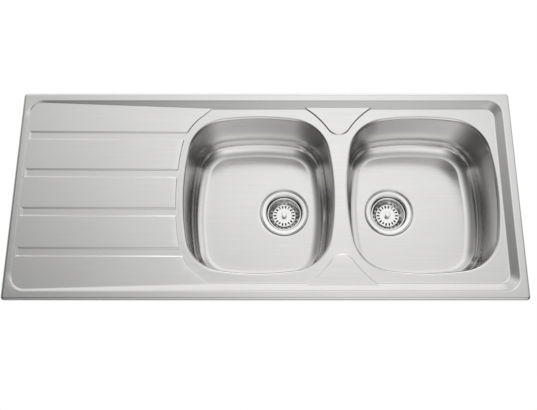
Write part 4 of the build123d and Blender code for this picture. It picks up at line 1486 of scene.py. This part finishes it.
# -------------------------------------------------------------------------------- wastes
@dataclass
class Waste:
    """One basket waste: cup, lift-out basket, seals, clamp bolt and moulded body.

    Args:
        side: left or right.
        centre_x: place of its axis.
    """

    side: str
    centre_x: float
    flange_z: float = -158.1
    flange_r: float = 57.0
    throat_r: float = 44.5
    ledge_z: float = -169.5
    foot_z: float = -189.0
    cup_gauge: float = 1.0
    cup_hole_count: int = 8
    cup_hole_ring_r: float = 21.0
    cup_hole_width: float = 12.4
    basket_floor_z: float = -183.0
    basket_floor_r: float = 29.0
    basket_waist_r: float = 34.5
    basket_rim_z: float = -168.0
    basket_rim_r: float = 43.0
    basket_gauge: float = 0.8
    slot_count: int = 18
    slot_ring_r: float = 23.4
    slot_length: float = 7.9
    slot_width: float = 4.1
    drop_width: float = 4.3
    drop_ring_r: float = 32.0
    knob_top_z: float = -172.0
    knob_r: float = 6.5
    knob_height: float = 3.5
    stem_r: float = 3.5
    rib_count: int = 24
    rib_ring_r: float = 49.6
    rib_size: tuple[float, float, float] = (3.0, 1.6, 28.0)
    rib_z: float = -186.0
    thread_r: float = 23.4
    thread_ridge: float = 0.7
    thread_turns: float = 5.0
    thread_height: float = 17.0
    thread_foot_z: float = -249.0

    @property
    def steel(self) -> PolishedSteel:
        """Polished finish whose turning marks run round this waste."""
        return PolishedSteel(f"polished_steel_{self.side}", "polished_steel", (0.86, 0.86, 0.85), 1.0, 0.08,
                             self.centre_x)

    def at(self, z: float) -> tuple[float, float, float]:
        """Point on the axis at a height, in metres."""
        return (self.centre_x * MM, 0, z * MM)

    def cup(self) -> None:
        """Build the flanged cup with its pierced foot."""
        line = [(3.1, self.foot_z, 0), (29, self.foot_z, 3), (33, self.foot_z + 7, 3),
                (self.throat_r, self.ledge_z, 3), (self.throat_r, self.flange_z, 2.4),
                (self.flange_r - 1.8, self.flange_z + 0.6, 1.4), (self.flange_r, self.flange_z - 1.0, 0)]
        made = lathe(f"{self.side}_cup_polished", sheet_section(line, self.cup_gauge), self.centre_x)
        Growth.SLOTS.grow(made, count=self.cup_hole_count, ring_radius=self.cup_hole_ring_r * MM,
                          slot_length=(self.cup_hole_width + 0.05) * MM, slot_width=self.cup_hole_width * MM,
                          depth=8 * MM, centre=self.at(self.foot_z - 4))
        smooth(made)
        finish_piece(made, self.steel, SINK_BODY, f"{self.side}_strainer_cup")

    def basket(self) -> None:
        """Build the pierced basket."""
        floor, rim = self.basket_floor_z, self.basket_rim_z
        line = [(2.5, floor, 0), (self.basket_floor_r, floor, 2.5), (self.basket_waist_r, floor + 6, 3),
                (self.basket_rim_r - 3.6, rim, 1.6), (self.basket_rim_r - 1.2, rim, 1.2),
                (self.basket_rim_r, rim - 0.7, 0)]
        made = lathe(f"{self.side}_basket_polished", sheet_section(line, self.basket_gauge), self.centre_x)
        for ring_r, length, width, turn in (
                (self.slot_ring_r, self.slot_length, self.slot_width, 0.0),
                (self.drop_ring_r, self.drop_width * 1.01, self.drop_width, math.pi / self.slot_count)):
            Growth.SLOTS.grow(made, count=self.slot_count, ring_radius=ring_r * MM, slot_length=length * MM,
                              slot_width=width * MM, depth=20 * MM, centre=self.at(floor - 5), turn=turn)
        smooth(made)
        finish_piece(made, self.steel, f"{self.side}_basket", f"{self.side}_basket")

    def knob(self) -> None:
        """Turn the basket's knob with its stem."""
        floor, top = self.basket_floor_z, self.knob_top_z
        under = top - self.knob_height
        line = [(0, top, 0), (self.knob_r, top, 1.2), (self.knob_r, under, 0.8), (self.stem_r, under, 0.8),
                (self.stem_r, floor, 0), (2.5, floor, 0), (2.5, floor - 0.8, 0), (4, floor - 0.8, 0),
                (4, floor - 1.6, 0), (0, floor - 1.6, 0)]
        made = lathe(f"{self.side}_knob_polished", rounded_line(line), self.centre_x, 48)
        finish_piece(made, self.steel, f"{self.side}_basket", f"{self.side}_basket_knob")

    def seals(self) -> None:
        """Dress the rubber rings."""
        for name, body in (("cup", SINK_BODY), ("body", SINK_BODY), ("basket", f"{self.side}_basket")):
            dress_node(f"{self.side}_{name}_seal", "ring", 0.25, RUBBER, body)

    def body(self) -> None:
        """Dress the moulded body, with grip ribs under its flange and a thread on its outlet."""
        node = f"{self.side}_waste_body"
        made = softened(node, f"{node}_moulding", 0.5)
        material = PLASTIC.material()
        Growth.RIBS.grow(made, count=self.rib_count, ring_radius=self.rib_ring_r * MM,
                         rib_size=tuple(size * MM for size in self.rib_size), centre=self.at(self.rib_z),
                         material=material)
        Growth.THREAD.grow(made, radius=self.thread_r * MM, ridge=self.thread_ridge * MM,
                           turns=self.thread_turns, height=self.thread_height * MM,
                           foot=self.at(self.thread_foot_z), material=material)
        smooth(made, 40)
        finish_piece(made, PLASTIC, SINK_BODY, node)
        dress_node(f"{self.side}_clamp_bolt", "turned", 0.2, self.steel)

    def build(self) -> None:
        """Build every piece of the waste."""
        self.cup()
        self.basket()
        self.knob()
        self.seals()
        self.body()


# ----------------------------------------------------------------- fittings under the sink
@dataclass
class Underside:
    """Overflow, pads, rim seal, earth tag and clips."""

    clip_edge: float = 0.25
    clip_count: int = 8
    screw_r: float = 2.75
    thread_ridge: float = 0.4
    thread_foot_z: float = -55.5
    thread_length: float = 41.0
    thread_turns: float = 41.0

    def fixed(self) -> None:
        """Dress what is fixed: the overflow's pieces, the pads, the foam strip and the plated fittings."""
        for node, suffix, edge, finish in (
                ("overflow_housing", "dressed", 0.6, PLASTIC), ("overflow_pipe", "dressed", 0.2, PLASTIC),
                ("overflow_union_nuts", "dressed", 0.4, PLASTIC),
                ("overflow_pipe_seals", "dressed", 0.2, RUBBER), ("overflow_gasket", "dressed", 0.2, RUBBER),
                ("overflow_studs", "dressed", 0.2, ZINC), ("overflow_nuts", "dressed", 0.3, ZINC),
                ("left_sound_pad", "bitumen", 0.6, BITUMEN), ("right_sound_pad", "bitumen", 0.6, BITUMEN),
                ("sealing_strip", "foam", 0.4, FOAM), ("earth_tag", "plated", 0.2, ZINC),
                ("clip_brackets", "plated", self.clip_edge, ZINC)):
            dress_node(node, suffix, edge, finish)

    def clips(self) -> None:
        """Dress the clips' threaded screws and claws."""
        for number in range(1, self.clip_count + 1):
            screw, claw = f"clip_screw_{number}", f"clip_claw_{number}"
            low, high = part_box(screw)
            made = softened(screw, f"{screw}_threaded", self.clip_edge)
            Growth.THREAD.grow(made, radius=self.screw_r * MM, ridge=self.thread_ridge * MM,
                               turns=self.thread_turns, height=self.thread_length * MM,
                               foot=((low.x + high.x) / 2, (low.y + high.y) / 2, self.thread_foot_z * MM),
                               material=ZINC.material())
            smooth(made, 40)
            finish_piece(made, ZINC, screw, screw)
            dress_node(claw, "plated", self.clip_edge, ZINC, claw)

    def build(self) -> None:
        """Dress every fitting."""
        self.fixed()
        self.clips()


# -------------------------------------------------------------------------------- studio
@dataclass(frozen=True)
class SoftLight:
    """One soft glow of the studio's surroundings.

    Args:
        azimuth: degrees clockwise from the back, seen from above.
        elevation: degrees above the horizon.
        spread: width of the glow in degrees.
        strength: brightness of its middle.
    """

    azimuth: float
    elevation: float
    spread: float
    strength: float

    @property
    def towards(self) -> tuple[float, float, float]:
        """Direction of the glow's middle, as a unit vector."""
        turn, rise = math.radians(self.azimuth), math.radians(self.elevation)
        return (math.cos(rise) * math.sin(turn), math.cos(rise) * math.cos(turn), math.sin(rise))


@dataclass
class Studio:
    """Camera, floor and soft light.

    Args:
        camera_at: place of the camera in metres.
        tilt_deg: its tilt away from looking straight down.
    """

    camera_at: tuple[float, float, float] = (0.0224, -0.5338, 1.5489)
    tilt_deg: float = 17.995
    lens: float = 47.86
    shift_x: float = -0.0134
    floor_half_m: float = 30.0
    floor_colour: tuple[float, float, float] = (0.85, 0.85, 0.85)
    outlet_painted_shade: tuple[float, float] = (30.0, 75.0)
    base_level: float = 0.06
    lights: tuple[SoftLight, ...] = (
        SoftLight(15, 67, 17, 1.0), SoftLight(172, 27, 18, 0.75), SoftLight(170, 53, 15, 0.62),
        SoftLight(9, 3, 18, 1.9), SoftLight(-30, 48, 13, 0.26), SoftLight(-34, 7, 22, 0.85),
        SoftLight(58, 22, 13, 0.9), SoftLight(66, 46, 9, 0.6), SoftLight(140, 79, 8, 0.25))
    fill_power: float = 14.0
    fill_size: float = 2.4
    fill_at: tuple[float, float, float] = (0.0, 0.4, 2.2)

    def camera(self) -> None:
        """Place the camera."""
        data = bpy.data.cameras.new("camera")
        data.lens, data.sensor_width, data.shift_x = self.lens, 36.0, self.shift_x
        made = add_object("camera", data)
        made.location = self.camera_at
        made.rotation_euler = (math.radians(self.tilt_deg), 0, 0)
        bpy.context.scene.camera = made

    def floor(self) -> None:
        """Lay the pale floor under the lowest piece: white to the camera, with painted shade under the
        outlets, where the glow fades out in a round patch and the floor's own lit colour shows.
        """
        low, half = CAD_BOX[0][2] / MM - 1, self.floor_half_m / MM
        corners = [(x * half, y * half, low) for x, y in ((-1, -1), (1, -1), (1, 1), (-1, 1))]
        made = mesh_object("floor", corners, [(0, 1, 2, 3)])
        material = bpy.data.materials.new("floor_white")
        graph = Graph(material)
        graph.feed("Base Color", (*self.floor_colour, 1))
        graph.feed("Roughness", 0.9)
        seen = graph.add("ShaderNodeLightPath").outputs["Is Camera Ray"]
        lit = seen
        # painted shade: a round patch under each outlet, where the white glow fades out by distance from the
        # outlet and the floor's own shading shows
        for waste_x in WASTE_X.values():
            away = graph.vector("DISTANCE", graph.place, (waste_x * MM, 0, low * MM))
            shade = graph.add("ShaderNodeMapRange", interpolation_type="SMOOTHSTEP", inputs={
                "Value": away, "From Min": self.outlet_painted_shade[0] * MM, "From Max": self.outlet_painted_shade[1] * MM})
            lit = graph.maths("MULTIPLY", lit, shade.outputs["Result"])
        glow = graph.add("ShaderNodeEmission").outputs[0]
        above = graph.add("ShaderNodeMixShader", {0: lit, 1: graph.shader.outputs[0], 2: glow}).outputs[0]
        # seen from below, the floor is clear, so that it doesn't hide the underside
        from_below = graph.maths("MULTIPLY", seen, graph.add("ShaderNodeNewGeometry").outputs["Backfacing"])
        clear = graph.add("ShaderNodeBsdfTransparent").outputs[0]
        surface = graph.add("ShaderNodeMixShader", {0: from_below, 1: above, 2: clear}).outputs[0]
        graph.plug(surface, graph.tree.nodes["Material Output"].inputs["Surface"])
        made.data.materials.append(material)

    def world(self) -> None:
        """Set the soft light: dim surroundings with the glows, and plain white to the camera."""
        world = bpy.data.worlds.new("studio_light")
        bpy.context.scene.world = world
        world.use_nodes = True
        sky = NodeTree(world.node_tree)
        direction = sky.add("ShaderNodeTexCoord").outputs["Generated"]
        level = self.base_level
        for light in self.lights:
            facing = sky.vector("DOT_PRODUCT", direction, light.towards)
            width = math.radians(light.spread) ** 2
            falloff = sky.maths("EXPONENT", sky.maths("DIVIDE", sky.maths("SUBTRACT", facing, 1.0), width))
            level = sky.maths("ADD", level, sky.maths("MULTIPLY", falloff, light.strength))
        seen = sky.add("ShaderNodeLightPath").outputs["Is Camera Ray"]
        unseen_level = sky.maths("MULTIPLY", level, sky.maths("SUBTRACT", 1.0, seen))
        back = sky.tree.nodes["Background"]
        sky.plug(sky.maths("MAXIMUM", unseen_level, seen), back.inputs["Strength"])
        sky.plug((1, 1, 1, 1), back.inputs["Color"])

    def fill(self) -> None:
        """Hang a wide soft lamp that lights what isn't metal."""
        data = bpy.data.lights.new("soft_overhead", "AREA")
        data.energy, data.size = self.fill_power, self.fill_size
        made = add_object("soft_overhead", data)
        made.location = self.fill_at
        made.visible_glossy = False

    def build(self) -> None:
        """Set up the whole studio."""
        self.camera()
        self.floor()
        self.world()
        self.fill()
        bpy.context.scene.view_settings.view_transform = "Standard"


def main() -> None:
    """Build the sink's pieces in order, then the studio."""
    logging.basicConfig(level=logging.INFO, format="%(name)s %(message)s")
    bowls = {side: BowlOutline(centre_x) for side, centre_x in BOWL_X.items()}
    Deck(bowls).build()
    for side, outline in bowls.items():
        Bowl(side, outline, WASTE_X[side]).build()
        Waste(side, WASTE_X[side]).build()
    Underside().build()
    Studio().build()


if __name__ == "__main__":
    main()
